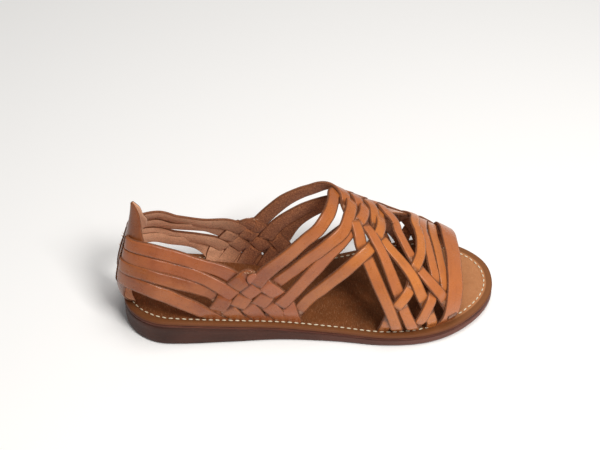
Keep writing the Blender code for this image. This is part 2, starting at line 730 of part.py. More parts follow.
def quarter_cutter(name, strap):
    """A quarter strap's own shape near the heel, with clearance, to cut the counter's slit."""
    return strap_object(name, strap, SLOT_CLEARANCE)


def material(name, colour, roughness):
    item = bpy.data.materials.new(name)
    item.use_nodes = True
    shader = item.node_tree.nodes["Principled BSDF"]
    shader.inputs["Base Color"].default_value = (*colour, 1.0)
    shader.inputs["Roughness"].default_value = roughness
    shader.inputs["Metallic"].default_value = 0.0
    return item


def build():
    for item in list(bpy.data.objects):
        bpy.data.objects.remove(item, do_unlink=True)
    straps = strap_list()
    for strap in straps:
        trace(strap)
    find_crossings(straps)

    outsole = make_outsole()
    midsole = make_midsole()
    insole = make_insole()
    counter = make_counter()

    pieces = [strap_object(f"strap_{i}", strap) for i, strap in enumerate(straps)]
    upper = pieces[0]
    upper.name = "upper"
    boolean(upper, "UNION", pieces[1:], "strap_joins")

    slots = [counter_cutter()]
    for i, strap in enumerate(straps):
        for end, has_foot in zip((0, -1), strap["feet"]):
            if has_foot:
                slots.append(foot_cutter(f"slot_{i}_{-end}", strap, end))
    boolean(insole, "DIFFERENCE", slots, "insole_slots")

    quarters = [strap for strap in straps if strap["family"] == "quarter" and strap["number"]]
    slits = [quarter_cutter(f"slit_{i}", strap) for i, strap in enumerate(quarters)]
    boolean(counter, "DIFFERENCE", slits, "counter_slits")

    looks = [
        (outsole, "brown_rubber", (0.105, 0.052, 0.040), 0.60),
        (midsole, "dark_leather", (0.085, 0.036, 0.024), 0.60),
        (insole, "insole_leather", (0.300, 0.130, 0.055), 0.70),
        (counter, "counter_leather", (0.440, 0.185, 0.085), 0.50),
        (upper, "strap_leather", (0.520, 0.215, 0.090), 0.45),
    ]
    for item, name, colour, roughness in looks:
        item.data.materials.append(material(name, colour, roughness))


build()
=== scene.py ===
import math

import bpy
import numpy as np
from mathutils import Matrix


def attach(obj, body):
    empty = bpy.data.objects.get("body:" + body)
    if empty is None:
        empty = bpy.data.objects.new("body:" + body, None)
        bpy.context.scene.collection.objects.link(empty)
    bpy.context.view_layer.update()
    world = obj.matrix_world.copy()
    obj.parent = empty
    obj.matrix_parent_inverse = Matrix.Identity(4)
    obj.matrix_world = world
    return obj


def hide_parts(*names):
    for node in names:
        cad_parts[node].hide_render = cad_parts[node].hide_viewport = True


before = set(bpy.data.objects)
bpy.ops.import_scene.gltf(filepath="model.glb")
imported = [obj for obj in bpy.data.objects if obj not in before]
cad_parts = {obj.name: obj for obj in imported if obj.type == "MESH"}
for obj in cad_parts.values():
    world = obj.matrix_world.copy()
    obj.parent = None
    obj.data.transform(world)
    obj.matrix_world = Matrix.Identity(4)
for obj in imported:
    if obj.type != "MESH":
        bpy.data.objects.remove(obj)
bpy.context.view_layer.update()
print("frame loaded")

# The sole in metres: half widths and wedge height as shares, from the heel to the toe
soleForm = {
    "length": 0.262,
    "originX": 0.040,
    "ballWidth": 0.0885,
    "heelStack": 0.0228,
    "ballStack": 0.0106,
    "toeSpring": 0.0029,
    "springStart": 0.70,
    "along": [0.00, 0.12, 0.28, 0.42, 0.56, 0.70, 0.84, 1.00],
    "lateral": [0.350, 0.395, 0.394, 0.385, 0.421, 0.480, 0.463, 0.373],
    "medial": [0.322, 0.362, 0.356, 0.333, 0.407, 0.520, 0.593, 0.565],
    "wedge": [0.98, 1.00, 0.68, 0.34, 0.10, 0.00, 0.00, 0.00],
    "heelRound": (0.12, 2.2),
    "toeRound": (0.25, 2.25),
}

# The foot shape that the straps lie on
lastForm = {
    "rim": 0.005,
    "heelRise": 0.0895,
    "instepRise": 0.0960,
    "bulge": 0.0080,
    "bulgeHeight": 0.0120,
    "bulgeFade": 0.0400,
    "footUpright": 0.0015,
    "lean": (0.13, 0.42, 0.58),
    "along": [0.0, 0.1, 0.2, 0.3, 0.4, 0.5, 0.6, 0.7, 0.8, 0.9, 1.0],
    "ridgeX": [0.053, 0.135, 0.215, 0.305, 0.405, 0.505, 0.600, 0.700, 0.800, 0.895, 0.985],
    "ridgeY": [0.000, 0.000, 0.000, 0.011, 0.034, 0.068, 0.090, 0.090, 0.090, 0.096, 0.102],
    "heel": [1.00, 1.00, 0.80, 0.40, 0.00, 0.00, 0.00, 0.00, 0.00, 0.00, 0.00],
    "instep": [0.00, 0.00, 0.20, 0.60, 1.02, 1.00, 0.83, 0.64, 0.46, 0.29, 0.17],
    "spread": [2.50, 3.00, 2.80, 1.20, 0.50, 0.52, 0.62, 0.66, 0.72, 0.80, 0.90],
    "climb": [1.00, 1.00, 1.00, 0.98, 0.92, 0.84, 0.78, 0.75, 0.75, 0.75, 0.75],
    "swell": [1.00, 0.62, 0.25, 0.12, 0.06, 0.19, 0.37, 0.50, 0.50, 0.37, 0.25],
}

# Strap sizes; widths run along the foot as (share of the length, width)
strapForm = {
    "thick": 0.0018,
    "crown": 0.00022,
    "cornerRound": 0.00055,
    "station": 0.0014,
    "quarterWidth": 0.0098,
    "lowQuarterWidth": 0.0110,
    "innerQuarterWidth": 0.0120,
    "braidWidth": 0.0116,
    "instepWidth": 0.0096,
    "innerInstepWidth": 0.0118,
    "vampWidth": 0.0083,
    "toeWidth": 0.0081,
    "bandWidth": 0.0130,
    "weaveLift": 0.00092,
    "weaveRun": 0.0024,
    "meetWithin": 0.002,
    "meetApart": 0.020,
    "overlapShare": 0.42,
    # painted shade where a strap goes under another: how far past the overlap it starts, and over what
    # length it fades
    "diveReach": 1.19,
    "diveShade": 0.0016,
    "footInward": 0.0010,
    "footDepth": 0.0020,
    "footTurn": 1.3,
    # darker strap edges, partly burnished and partly painted shade lines between neighbouring straps
    "rubAndShadeLineFrom": 0.90,
    "rubAndShadeLineRun": 0.08,
    "tuck": 0.0005,
    "wander": 0.00018,
    "seed": 11,
}

# Centre lines: (share along the foot, share round it from -1 outer edge over 0 to 1 inner edge)
routes = {
    "quarter": [
        [(0.000, -0.600), (0.060, -0.592), (0.130, -0.630), (0.200, -0.670), (0.270, -0.703),
         (0.304, -0.745), (0.340, -0.812), (0.373, -0.882), (0.400, -0.940), (0.420, -1.0)],
        [(0.000, -0.675), (0.066, -0.665), (0.131, -0.697), (0.200, -0.735), (0.252, -0.780),
         (0.280, -0.820), (0.307, -0.870), (0.335, -0.925), (0.358, -1.0)],
        [(0.000, -0.750), (0.068, -0.724), (0.131, -0.761), (0.200, -0.803), (0.232, -0.828),
         (0.256, -0.872), (0.280, -0.930), (0.300, -1.0)],
        [(0.000, -0.815), (0.070, -0.798), (0.101, -0.822), (0.131, -0.855), (0.196, -0.922),
         (0.222, -0.965), (0.240, -1.0)],
    ],
    # the quarter straps' inner halves, written as on the outer side, onward from the heel
    "innerQuarter": [
        [(0.060, -0.596), (0.130, -0.636), (0.200, -0.674), (0.270, -0.703),
         (0.304, -0.745), (0.340, -0.812), (0.373, -0.882), (0.400, -0.940), (0.420, -1.0)],
        [(0.030, -0.680), (0.060, -0.690), (0.100, -0.720), (0.140, -0.724), (0.180, -0.724),
         (0.220, -0.735), (0.252, -0.775), (0.280, -0.820), (0.307, -0.870), (0.335, -0.925),
         (0.358, -1.0)],
        [(0.030, -0.765), (0.080, -0.815), (0.120, -0.842), (0.150, -0.846), (0.190, -0.845),
         (0.232, -0.858), (0.256, -0.890), (0.280, -0.940), (0.300, -1.0)],
        [(0.030, -0.822), (0.080, -0.864), (0.110, -0.880), (0.150, -0.885), (0.180, -0.897),
         (0.210, -0.930), (0.228, -0.965), (0.240, -1.0)],
    ],
    "turnedUp": [(0.228, -1.0), (0.238, -0.930), (0.256, -0.877), (0.276, -0.812),
                 (0.304, -0.752), (0.328, -0.720), (0.352, -0.708)],
    "turnedDown": [(0.330, -0.705), (0.352, -0.735), (0.378, -0.780), (0.403, -0.823),
                   (0.425, -0.880), (0.440, -0.940), (0.450, -1.0)],
    "instep": [
        [(0.262, -1.0), (0.287, -0.927), (0.307, -0.870), (0.334, -0.795), (0.376, -0.695),
         (0.428, -0.598), (0.478, -0.502), (0.513, -0.425), (0.537, -0.300), (0.557, -0.140),
         (0.578, 0.000), (0.592, 0.110), (0.604, 0.190), (0.615, 0.290), (0.627, 0.415),
         (0.649, 0.540), (0.672, 0.665), (0.701, 0.805), (0.735, 1.0)],
        [(0.318, -1.0), (0.343, -0.917), (0.370, -0.860), (0.400, -0.782), (0.478, -0.655),
         (0.531, -0.555), (0.576, -0.398), (0.597, -0.205), (0.617, 0.000), (0.635, 0.150),
         (0.657, 0.290), (0.684, 0.425), (0.704, 0.540), (0.724, 0.667), (0.744, 0.818),
         (0.780, 1.0)],
        [(0.375, -1.0), (0.402, -0.925), (0.434, -0.860), (0.487, -0.750), (0.531, -0.643),
         (0.572, -0.500), (0.603, -0.330), (0.632, -0.170), (0.655, 0.000), (0.678, 0.215),
         (0.704, 0.320), (0.735, 0.415), (0.763, 0.512), (0.784, 0.635), (0.799, 0.722),
         (0.814, 0.848), (0.830, 1.0)],
        [(0.440, -1.0), (0.462, -0.945), (0.487, -0.887), (0.535, -0.802), (0.588, -0.672),
         (0.636, -0.485), (0.657, -0.380), (0.677, -0.200), (0.697, 0.000), (0.720, 0.100),
         (0.744, 0.200), (0.764, 0.305), (0.796, 0.463), (0.824, 0.573), (0.849, 0.675),
         (0.871, 0.828), (0.884, 1.0)],
    ],
    # the instep straps from the inner side, from their feet to the middle of the instep
    "innerStart": [
        [(0.262, 1.0), (0.287, 0.927), (0.307, 0.870), (0.334, 0.795), (0.376, 0.690),
         (0.428, 0.568), (0.478, 0.455), (0.508, 0.368), (0.532, 0.255), (0.555, 0.135), (0.578, 0.0)],
        [(0.318, 1.0), (0.343, 0.917), (0.370, 0.855), (0.400, 0.762), (0.478, 0.620),
         (0.531, 0.490), (0.570, 0.345), (0.597, 0.180), (0.617, 0.0)],
        [(0.375, 1.0), (0.402, 0.925), (0.430, 0.845), (0.462, 0.745), (0.500, 0.655),
         (0.540, 0.545), (0.580, 0.400), (0.615, 0.225), (0.655, 0.0)],
        [(0.480, 1.0), (0.500, 0.955), (0.530, 0.915), (0.560, 0.868), (0.590, 0.795),
         (0.620, 0.700), (0.650, 0.560), (0.672, 0.360), (0.686, 0.170), (0.697, 0.0)],
    ],
    "toe": [
        [(0.695, -1.0), (0.704, -0.930), (0.719, -0.833), (0.744, -0.712), (0.760, -0.620),
         (0.767, -0.435), (0.781, -0.287), (0.788, -0.140), (0.782, 0.000)],
        [(0.777, -1.0), (0.786, -0.940), (0.798, -0.850), (0.811, -0.730), (0.822, -0.610),
         (0.826, -0.448), (0.819, -0.307), (0.813, -0.165), (0.806, 0.000)],
        [(0.874, -0.800), (0.869, -0.720), (0.858, -0.575), (0.849, -0.377), (0.841, -0.150),
         (0.838, 0.000)],
        [(0.866, -1.0), (0.872, -0.882), (0.877, -0.732), (0.879, -0.575), (0.878, -0.325),
         (0.879, -0.130), (0.878, 0.000)],
    ],
}

# The counter: half spread along the sole's edge at each share of the way round
counterForm = {
    "around": [-1.0, -0.930, -0.860, -0.780, -0.700, -0.640, -0.580, -0.520, -0.450, -0.380,
               -0.330, -0.290, -0.260],
    "spread": [0.014, 0.015, 0.018, 0.030, 0.045, 0.051, 0.048, 0.038, 0.031, 0.024, 0.016,
               0.009, 0.004],
    "thick": 0.0018,
    "slot": 0.0003,
    "slitAlong": 0.004,
    "slitRun": 0.0050,
    "strapRoom": 0.0010,
    "clear": 0.075,
    "settle": 0.014,
    # painted shade laid over the whole counter
    "shade": 0.42,
    "rows": 90,
    "columns": 46,
}


def hermite(xs, ys):
    xs, ys = np.array(xs, float), np.array(ys, float)
    steps = np.diff(xs)
    rates = np.diff(ys) / steps
    inner = (rates[:-1] * steps[1:] + rates[1:] * steps[:-1]) / (steps[1:] + steps[:-1])
    slopes = np.concatenate([[rates[0]], inner, [rates[-1]]])

    def value(x):
        x = np.clip(np.asarray(x, float), xs[0], xs[-1])
        i = np.clip(np.searchsorted(xs, x, side="right") - 1, 0, len(steps) - 1)
        u = (x - xs[i]) / steps[i]
        near = (1 + 2 * u) * (1 - u) ** 2 * ys[i] + u * (1 - u) ** 2 * steps[i] * slopes[i]
        far = u ** 2 * (3 - 2 * u) * ys[i + 1] + u ** 2 * (u - 1) * steps[i] * slopes[i + 1]
        return near + far

    return value


def ease(x):
    x = np.clip(x, 0.0, 1.0)
    return x * x * (3 - 2 * x)


soleCurve = {name: hermite(soleForm["along"], soleForm[name])
             for name in ("lateral", "medial", "wedge")}
lastCurve = {name: hermite(lastForm["along"], lastForm[name])
             for name in ("ridgeX", "ridgeY", "heel", "instep", "spread", "climb", "swell")}


def endRounding(s):
    heelLength, heelPower = soleForm["heelRound"]
    toeLength, toePower = soleForm["toeRound"]
    heel = np.clip((heelLength - s) / heelLength, 0, 1)
    toe = np.clip((s - 1 + toeLength) / toeLength, 0, 1)
    return (1 - heel ** heelPower) ** (1 / heelPower) * (1 - toe ** toePower) ** (1 / toePower)


def outlineY(s, side, inset):
    lateral = soleCurve["lateral"](s) * soleForm["ballWidth"]
    medial = soleCurve["medial"](s) * soleForm["ballWidth"]
    return (medial - lateral) / 2 + side * ((lateral + medial) / 2 - inset) * endRounding(s)


def springAt(x):
    start = soleForm["springStart"]
    return soleForm["toeSpring"] * np.clip((x / soleForm["length"] - start) / (1 - start), 0, 1) ** 2


def topAt(x):
    wedge = soleCurve["wedge"](np.clip(x / soleForm["length"], 0, 1))
    return (soleForm["ballStack"] + (soleForm["heelStack"] - soleForm["ballStack"]) * wedge
            + springAt(x))


def shareOf(t):
    return (1 - np.cos(np.pi * t)) / 2


def stepOf(s):
    return np.sign(s) * np.arccos(1 - 2 * np.abs(s)) / np.pi


def edgePoint(t, side, inset):
    s = shareOf(t)
    return np.stack([inset + (soleForm["length"] - 2 * inset) * s, outlineY(s, side, inset)], -1)


def edgeNormal(t, side):
    small = 0.002
    along = (edgePoint(np.clip(t + small, 0, 1), side, lastForm["rim"])
             - edgePoint(np.clip(t - small, 0, 1), side, lastForm["rim"]))
    along /= np.linalg.norm(along, axis=-1, keepdims=True)
    return np.stack([-along[..., 1] * side, along[..., 0] * side], -1)


def lastPoint(t, around):
    t, around = np.broadcast_arrays(np.asarray(t, float), np.asarray(around, float))
    around = np.where(t < 0, -around, around)
    t = np.abs(t)
    s = shareOf(t)
    amount, leanFrom, leanTo = lastForm["lean"]
    lean = amount * ease((s - leanFrom) / (leanTo - leanFrom))
    g = np.clip(around + lean * (1 - around ** 2), -1, 1)
    side = np.where(g < 0, -1.0, 1.0)
    edgeX = lastForm["rim"] + (soleForm["length"] - 2 * lastForm["rim"]) * s
    edgeY = outlineY(s, side, lastForm["rim"])
    floor = topAt(edgeX)
    ridgeX = lastCurve["ridgeX"](s) * soleForm["length"]
    ridgeY = lastCurve["ridgeY"](s) * soleForm["ballWidth"]
    rise = lastCurve["heel"](s) * lastForm["heelRise"] + lastCurve["instep"](s) * lastForm["instepRise"]
    angle = (1 - np.abs(g)) * np.pi / 2
    spread = np.clip(np.cos(angle), 0, 1) ** lastCurve["spread"](s)
    height = rise * np.clip(np.sin(angle), 0, 1) ** lastCurve["climb"](s)
    x = ridgeX + (edgeX - ridgeX) * spread * np.cos(angle)
    y = ridgeY + (edgeY - ridgeY) * spread
    up = np.clip((height - lastForm["footUpright"]) / lastForm["bulgeHeight"], 0, 1)
    fade = np.exp(-(np.clip(height - lastForm["bulgeHeight"], 0, None) / lastForm["bulgeFade"]) ** 2)
    push = lastCurve["swell"](s) * lastForm["bulge"] * up * (2 - up) * fade
    out = edgeNormal(t, side)
    return np.stack([x + push * out[..., 0], y + push * out[..., 1], floor + height], -1)


def lastFrame(t, around):
    small = 0.004
    t, around = np.asarray(t, float), np.asarray(around, float)
    along = lastPoint(t + small, around) - lastPoint(t - small, around)
    across = (lastPoint(t, np.clip(around + small, -1, 1))
              - lastPoint(t, np.clip(around - small, -1, 1)))
    normal = np.cross(along, across)
    return lastPoint(t, around), normal / np.linalg.norm(normal, axis=-1, keepdims=True)


def unit(vectors):
    return vectors / np.linalg.norm(vectors, axis=-1, keepdims=True)


def newObject(name, data):
    item = bpy.data.objects.new(name, data)
    bpy.context.scene.collection.objects.link(item)
    return item


def newMesh(name, vertices, faces, materials, slots=None):
    mesh = bpy.data.meshes.new(name)
    shifted = np.asarray(vertices, float) - [soleForm["originX"], 0, 0]
    mesh.from_pydata(shifted.tolist(), [], faces)
    for item in materials:
        mesh.materials.append(item)
    if slots is not None:
        mesh.polygons.foreach_set("material_index", np.asarray(slots, np.int32))
    mesh.shade_smooth()
    mesh.update()
    return newObject(name, mesh)


def addAttribute(piece, name, values):
    attribute = piece.data.attributes.new(name, "FLOAT", "POINT")
    attribute.data.foreach_set("value", np.asarray(values, np.float32))


# Materials

def setSockets(tree, node, values):
    for socket, value in values.items():
        if isinstance(value, bpy.types.NodeSocket):
            tree.links.new(value, node.inputs[socket])
        else:
            node.inputs[socket].default_value = value


def addNode(tree, kind, values=None, **settings):
    node = tree.nodes.new(kind)
    for name, value in settings.items():
        setattr(node, name, value)
    setSockets(tree, node, values or {})
    return node


def newMaterial(name):
    item = bpy.data.materials.new(name)
    item.use_nodes = True
    tree = item.node_tree
    return item, tree, tree.nodes["Principled BSDF"]


def objectPlace(tree):
    return addNode(tree, "ShaderNodeTexCoord").outputs["Object"]


def alongShoe(tree, place):
    return addNode(tree, "ShaderNodeSeparateXYZ", {"Vector": place}).outputs[0]


def noise(tree, coordinates, scale, detail=4.0, roughness=0.55, distortion=0.0):
    node = addNode(tree, "ShaderNodeTexNoise", {"Vector": coordinates, "Scale": scale, "Detail": detail,
                                                "Roughness": roughness, "Distortion": distortion})
    return node.outputs["Fac"]


def stretchedNoise(tree, coordinates, scales, detail, roughness, distortion=0.0, turn=(0.0, 0.0, 0.0)):
    mapping = addNode(tree, "ShaderNodeMapping", {"Vector": coordinates, "Rotation": turn, "Scale": scales})
    return noise(tree, mapping.outputs["Vector"], 1.0, detail, roughness, distortion)


def ranged(tree, value, low, high, outLow=0.0, outHigh=1.0):
    node = addNode(tree, "ShaderNodeMapRange", {"Value": value, "From Min": low, "From Max": high,
                                                "To Min": outLow, "To Max": outHigh})
    return node.outputs["Result"]


def mixed(tree, factor, a, b):
    return addNode(tree, "ShaderNodeMix", {0: factor, 6: a, 7: b}, data_type="RGBA").outputs[2]


def stained(tree, base, pattern, low, high, amount, colour):
    # no colour where the pattern is low, and the whole amount of it where the pattern is high
    return mixed(tree, ranged(tree, pattern, low, high, 0.0, amount), base, colour)


def maths(tree, operation, a, b=0.0):
    return addNode(tree, "ShaderNodeMath", {0: a, 1: b}, operation=operation).outputs[0]


def bumped(tree, height, strength, distance, normal=None):
    values = {"Height": height, "Strength": strength, "Distance": distance}
    if normal is not None:
        values["Normal"] = normal
    return addNode(tree, "ShaderNodeBump", values).outputs["Normal"]


def attributeOf(tree, name):
    return addNode(tree, "ShaderNodeAttribute", attribute_name=name).outputs["Fac"]


def rgb(red, green, blue):
    return (red, green, blue, 1.0)


strapFinish = {
    "tan": rgb(0.215, 0.050, 0.012),
    "orange": rgb(0.600, 0.200, 0.042),
    "pink": rgb(0.400, 0.115, 0.046),
    # dark brown of burnished edges, pores and streaks, also laid on as painted shade at strap edges and
    # crossings
    "burnishAndShade": rgb(0.045, 0.010, 0.003),
    "raw": rgb(0.620, 0.330, 0.190),
    "roughness": (0.24, 0.36),
    "specular": 0.50,
    "coat": 0.08,
    "coatRoughness": 0.16,
    "toeLightAndToneAlong": (0.06, 0.17),
    "fibreScale": (900.0, 55.0, 1.0),
    "grainScale": 1500.0,
    "grainDepth": 0.00012,
    "creaseDepth": 0.00025,
}


def strapGrain():
    item, tree, shader = newMaterial("strapGrain")
    place = objectPlace(tree)
    strapMap = addNode(tree, "ShaderNodeUVMap", uv_map="strapMap").outputs["UV"]
    edge = attributeOf(tree, "edgeShade")
    blotch = noise(tree, place, 160.0, 4.0, 0.65)
    clouded = ranged(tree, noise(tree, place, 42.0, 5.0, 0.6), 0.36, 0.64, 0.0, 0.35)
    # more orange towards the toe: partly the leather's own tone, partly painted light, the toe end being lit
    # more
    fade = ranged(tree, alongShoe(tree, place), *strapFinish["toeLightAndToneAlong"], 0.0, 0.75)
    base = mixed(tree, maths(tree, "ADD", clouded, fade), strapFinish["tan"], strapFinish["orange"])
    base = stained(tree, base, attributeOf(tree, "strapTone"), 0.0, 1.0, 0.70, strapFinish["pink"])
    base = stained(tree, base, blotch, 0.50, 0.78, 0.40, strapFinish["pink"])
    fibre = stretchedNoise(tree, strapMap, strapFinish["fibreScale"], 3.0, 0.6)
    base = stained(tree, base, fibre, 0.55, 0.80, 0.30, strapFinish["burnishAndShade"])
    cells = addNode(tree, "ShaderNodeTexVoronoi", {"Vector": place, "Scale": strapFinish["grainScale"]})
    pores = cells.outputs["Distance"]
    base = mixed(tree, ranged(tree, pores, 0.0, 0.30, 0.35, 0.0), base, strapFinish["burnishAndShade"])
    # darker where edgeShade is high: burnished edges, painted shade lines, painted shade where straps cross,
    # and the counter's painted shade
    base = mixed(tree, maths(tree, "MULTIPLY", edge, 0.85), base, strapFinish["burnishAndShade"])
    raw = maths(tree, "MULTIPLY", ranged(tree, edge, 0.45, 0.75),
                ranged(tree, blotch, 0.52, 0.60, 0.0, 0.55))
    base = mixed(tree, raw, base, strapFinish["raw"])
    fine = noise(tree, place, 2600.0, 3.0)
    grain = maths(tree, "ADD", ranged(tree, pores, 0.0, 0.6), maths(tree, "MULTIPLY", fine, 0.7))
    creased = bumped(tree, fibre, 0.35, strapFinish["creaseDepth"])
    creased = bumped(tree, blotch, 0.30, 0.0006, creased)
    setSockets(tree, shader, {
        "Base Color": base,
        "Roughness": ranged(tree, blotch, 0.35, 0.70, *strapFinish["roughness"]),
        "Specular IOR Level": strapFinish["specular"],
        "Coat Weight": strapFinish["coat"],
        "Coat Roughness": strapFinish["coatRoughness"],
        "Normal": bumped(tree, grain, 0.55, strapFinish["grainDepth"], creased),
    })
    return item


fleshFinish = {
    "pale": rgb(0.560, 0.210, 0.085),
    "dark": rgb(0.150, 0.038, 0.010),
    # painted light colour of the flesh side near the heel
    "litPale": rgb(0.950, 0.520, 0.310),
    "litPaleAlong": (0.048, 0.020),
    "napDepth": 0.0005,
}


def strapFlesh():
    item, tree, shader = newMaterial("strapFlesh")
    place = objectPlace(tree)
    nap = noise(tree, place, 950.0, 6.0, 0.75)
    patch = noise(tree, place, 120.0, 4.0, 0.6)
    base = mixed(tree, ranged(tree, nap, 0.36, 0.62), fleshFinish["dark"], fleshFinish["pale"])
    base = stained(tree, base, patch, 0.35, 0.75, 0.45, fleshFinish["dark"])
    # painted light: the flesh side is paler, speckled by the nap, towards the heel where the light falls on
    # it
    heelPaintedLight = maths(tree, "MULTIPLY", ranged(tree, alongShoe(tree, place), *fleshFinish["litPaleAlong"]),
                     ranged(tree, nap, 0.36, 0.60, 0.62, 1.0))
    base = mixed(tree, heelPaintedLight, base, fleshFinish["litPale"])
    setSockets(tree, shader, {
        "Base Color": base,
        "Roughness": 0.93,
        "Specular IOR Level": 0.12,
        "Sheen Weight": 0.15,
        "Sheen Roughness": 0.6,
        "Normal": bumped(tree, nap, 0.8, fleshFinish["napDepth"]),
    })
    return item


edgeFinish = {
    "dark": rgb(0.085, 0.022, 0.006),
    "light": rgb(0.300, 0.105, 0.038),
}


def strapEdge():
    item, tree, shader = newMaterial("strapEdge")
    fibre = noise(tree, objectPlace(tree), 1300.0, 5.0, 0.7)
    base = mixed(tree, ranged(tree, fibre, 0.35, 0.68), edgeFinish["dark"], edgeFinish["light"])
    setSockets(tree, shader, {"Base Color": base, "Roughness": 0.85,
                              "Normal": bumped(tree, fibre, 0.6, 0.0003)})
    return item


soleDetail = {
    "insoleThick": 0.0023,
    "midsoleThick": 0.0025,
    "layerGap": 0.0003,
    "edgeRound": 0.0022,
    "stations": 150,
    "outsoleStations": 320,
    "stitchInset": 0.0044,
    "toeStitchInset": 0.0016,
    "grooveDepth": 0.00035,
    "treadPitch": 0.0062,
    "treadDepth": 0.0009,
}

insoleFinish = {
    # lit and shaded copies of one leather: light and dark browns darkened as painted shade of the straps,
    # toe the lit tan of the open toe
    "light": rgb(0.285, 0.090, 0.023),
    "dark": rgb(0.110, 0.034, 0.009),
    "rim": rgb(0.185, 0.066, 0.021),
    "edge": rgb(0.150, 0.046, 0.016),
    "toe": rgb(0.500, 0.215, 0.090),
    "fleck": rgb(0.640, 0.350, 0.190),
    "scratchScale": (1900.0, 300.0, 1.0),
    "scratchTurn": (0.0, 0.0, 0.9),
}


def insoleLeather():
    item, tree, shader = newMaterial("insoleLeather")
    place = objectPlace(tree)
    inset = attributeOf(tree, "inset")
    toeLit = attributeOf(tree, "toeLitShare")
    broad = noise(tree, place, 30.0, 6.0, 0.65, 0.6)
    mottle = noise(tree, place, 210.0, 6.0, 0.7)
    speck = noise(tree, place, 1500.0, 3.0, 0.6)
    # painted light and shade: the insole is dark where the straps shade it and turns light tan at the open
    # toe
    base = mixed(tree, ranged(tree, broad, 0.34, 0.66, 0.05, 0.55), insoleFinish["dark"],
                 insoleFinish["light"])
    base = stained(tree, base, toeLit, 0.0, 1.0, 0.90, insoleFinish["toe"])
    blots = maths(tree, "MULTIPLY", ranged(tree, mottle, 0.48, 0.72, 0.0, 0.50),
                  ranged(tree, toeLit, 0.0, 1.0, 1.0, 0.35))
    base = mixed(tree, blots, base, insoleFinish["dark"])
    scratch = stretchedNoise(tree, place, insoleFinish["scratchScale"], 3.0, 0.6,
                             turn=insoleFinish["scratchTurn"])
    base = stained(tree, base, scratch, 0.56, 0.74, 0.45, insoleFinish["fleck"])
    base = stained(tree, base, speck, 0.58, 0.75, 0.30, insoleFinish["fleck"])
    stitchLine = soleDetail["stitchInset"]
    base = stained(tree, base, inset, stitchLine + 0.0006, stitchLine - 0.0002, 0.85, insoleFinish["rim"])
    base = stained(tree, base, inset, 0.0012, 0.0002, 0.8, insoleFinish["edge"])
    grain = addNode(tree, "ShaderNodeTexVoronoi", {"Vector": place, "Scale": 900.0}).outputs["Distance"]
    rough = bumped(tree, mottle, 0.5, 0.0006)
    setSockets(tree, shader, {
        "Base Color": base,
        "Roughness": ranged(tree, mottle, 0.3, 0.7, 0.50, 0.72),
        "Specular IOR Level": 0.20,
        "Normal": bumped(tree, maths(tree, "ADD", grain, speck), 0.5, 0.0002, rough),
    })
    return item


midsoleFinish = {
    "dark": rgb(0.062, 0.015, 0.008),
    "light": rgb(0.150, 0.040, 0.020),
    "scuff": rgb(0.340, 0.140, 0.080),
    "layerScale": (60.0, 60.0, 1400.0),
}


def midsoleLeather():
    item, tree, shader = newMaterial("midsoleLeather")
    place = objectPlace(tree)
    strata = stretchedNoise(tree, place, midsoleFinish["layerScale"], 5.0, 0.65)
    scuff = noise(tree, place, 240.0, 5.0, 0.7)
    base = mixed(tree, ranged(tree, strata, 0.38, 0.66), midsoleFinish["dark"], midsoleFinish["light"])
    base = stained(tree, base, scuff, 0.60, 0.78, 0.5, midsoleFinish["scuff"])
    setSockets(tree, shader, {"Base Color": base, "Roughness": 0.60, "Specular IOR Level": 0.25,
                              "Normal": bumped(tree, strata, 0.5, 0.0004)})
    return item


rubberFinish = {
    "dark": rgb(0.034, 0.009, 0.004),
    "mid": rgb(0.066, 0.019, 0.010),
    # painted light colour of the rubber's lit toe end
    "toe": rgb(0.200, 0.080, 0.060),
    "scuff": rgb(0.230, 0.095, 0.075),
    "litToeAlong": (0.06, 0.21),
    "dragScale": (90.0, 90.0, 900.0),
}


def outsoleRubber():
    item, tree, shader = newMaterial("outsoleRubber")
    place = objectPlace(tree)
    broad = noise(tree, place, 26.0, 5.0, 0.6)
    fine = noise(tree, place, 900.0, 4.0, 0.7)
    drag = stretchedNoise(tree, place, rubberFinish["dragScale"], 6.0, 0.7, 0.4)
    base = mixed(tree, ranged(tree, broad, 0.35, 0.65), rubberFinish["dark"], rubberFinish["mid"])
    # painted light: the rubber turns lighter towards the toe, where the light falls
    base = stained(tree, base, alongShoe(tree, place), *rubberFinish["litToeAlong"], 0.80, rubberFinish["toe"])
    base = stained(tree, base, drag, 0.56, 0.80, 0.45, rubberFinish["scuff"])
    base = stained(tree, base, fine, 0.60, 0.80, 0.35, rubberFinish["scuff"])
    rough = bumped(tree, drag, 0.35, 0.0005)
    setSockets(tree, shader, {
        "Base Color": base,
        "Roughness": ranged(tree, drag, 0.3, 0.7, 0.46, 0.66),
        "Specular IOR Level": 0.28,
        "Normal": bumped(tree, fine, 0.4, 0.00018, rough),
    })
    return item


threadFinish = {
    "clean": rgb(0.84, 0.74, 0.55),
    "dirty": rgb(0.50, 0.36, 0.22),
}


def waxedThread():
    item, tree, shader = newMaterial("waxedThread")
    place = objectPlace(tree)
    twist = addNode(tree, "ShaderNodeTexWave", {"Vector": place, "Scale": 900.0, "Distortion": 1.0},
                    bands_direction="DIAGONAL").outputs["Fac"]
    base = stained(tree, threadFinish["clean"], noise(tree, place, 300.0, 4.0), 0.45, 0.75, 0.6,
                   threadFinish["dirty"])
    setSockets(tree, shader, {"Base Color": base, "Roughness": 0.75,
                              "Normal": bumped(tree, twist, 0.5, 0.0002)})
    return item


fibreFinish = {
    "dark": rgb(0.62, 0.27, 0.11),
    "light": rgb(0.90, 0.62, 0.40),
}


def looseFibre():
    item, tree, shader = newMaterial("looseFibre")
    base = mixed(tree, noise(tree, objectPlace(tree), 700.0), fibreFinish["dark"], fibreFinish["light"])
    setSockets(tree, shader, {"Base Color": base, "Roughness": 0.9})
    return item


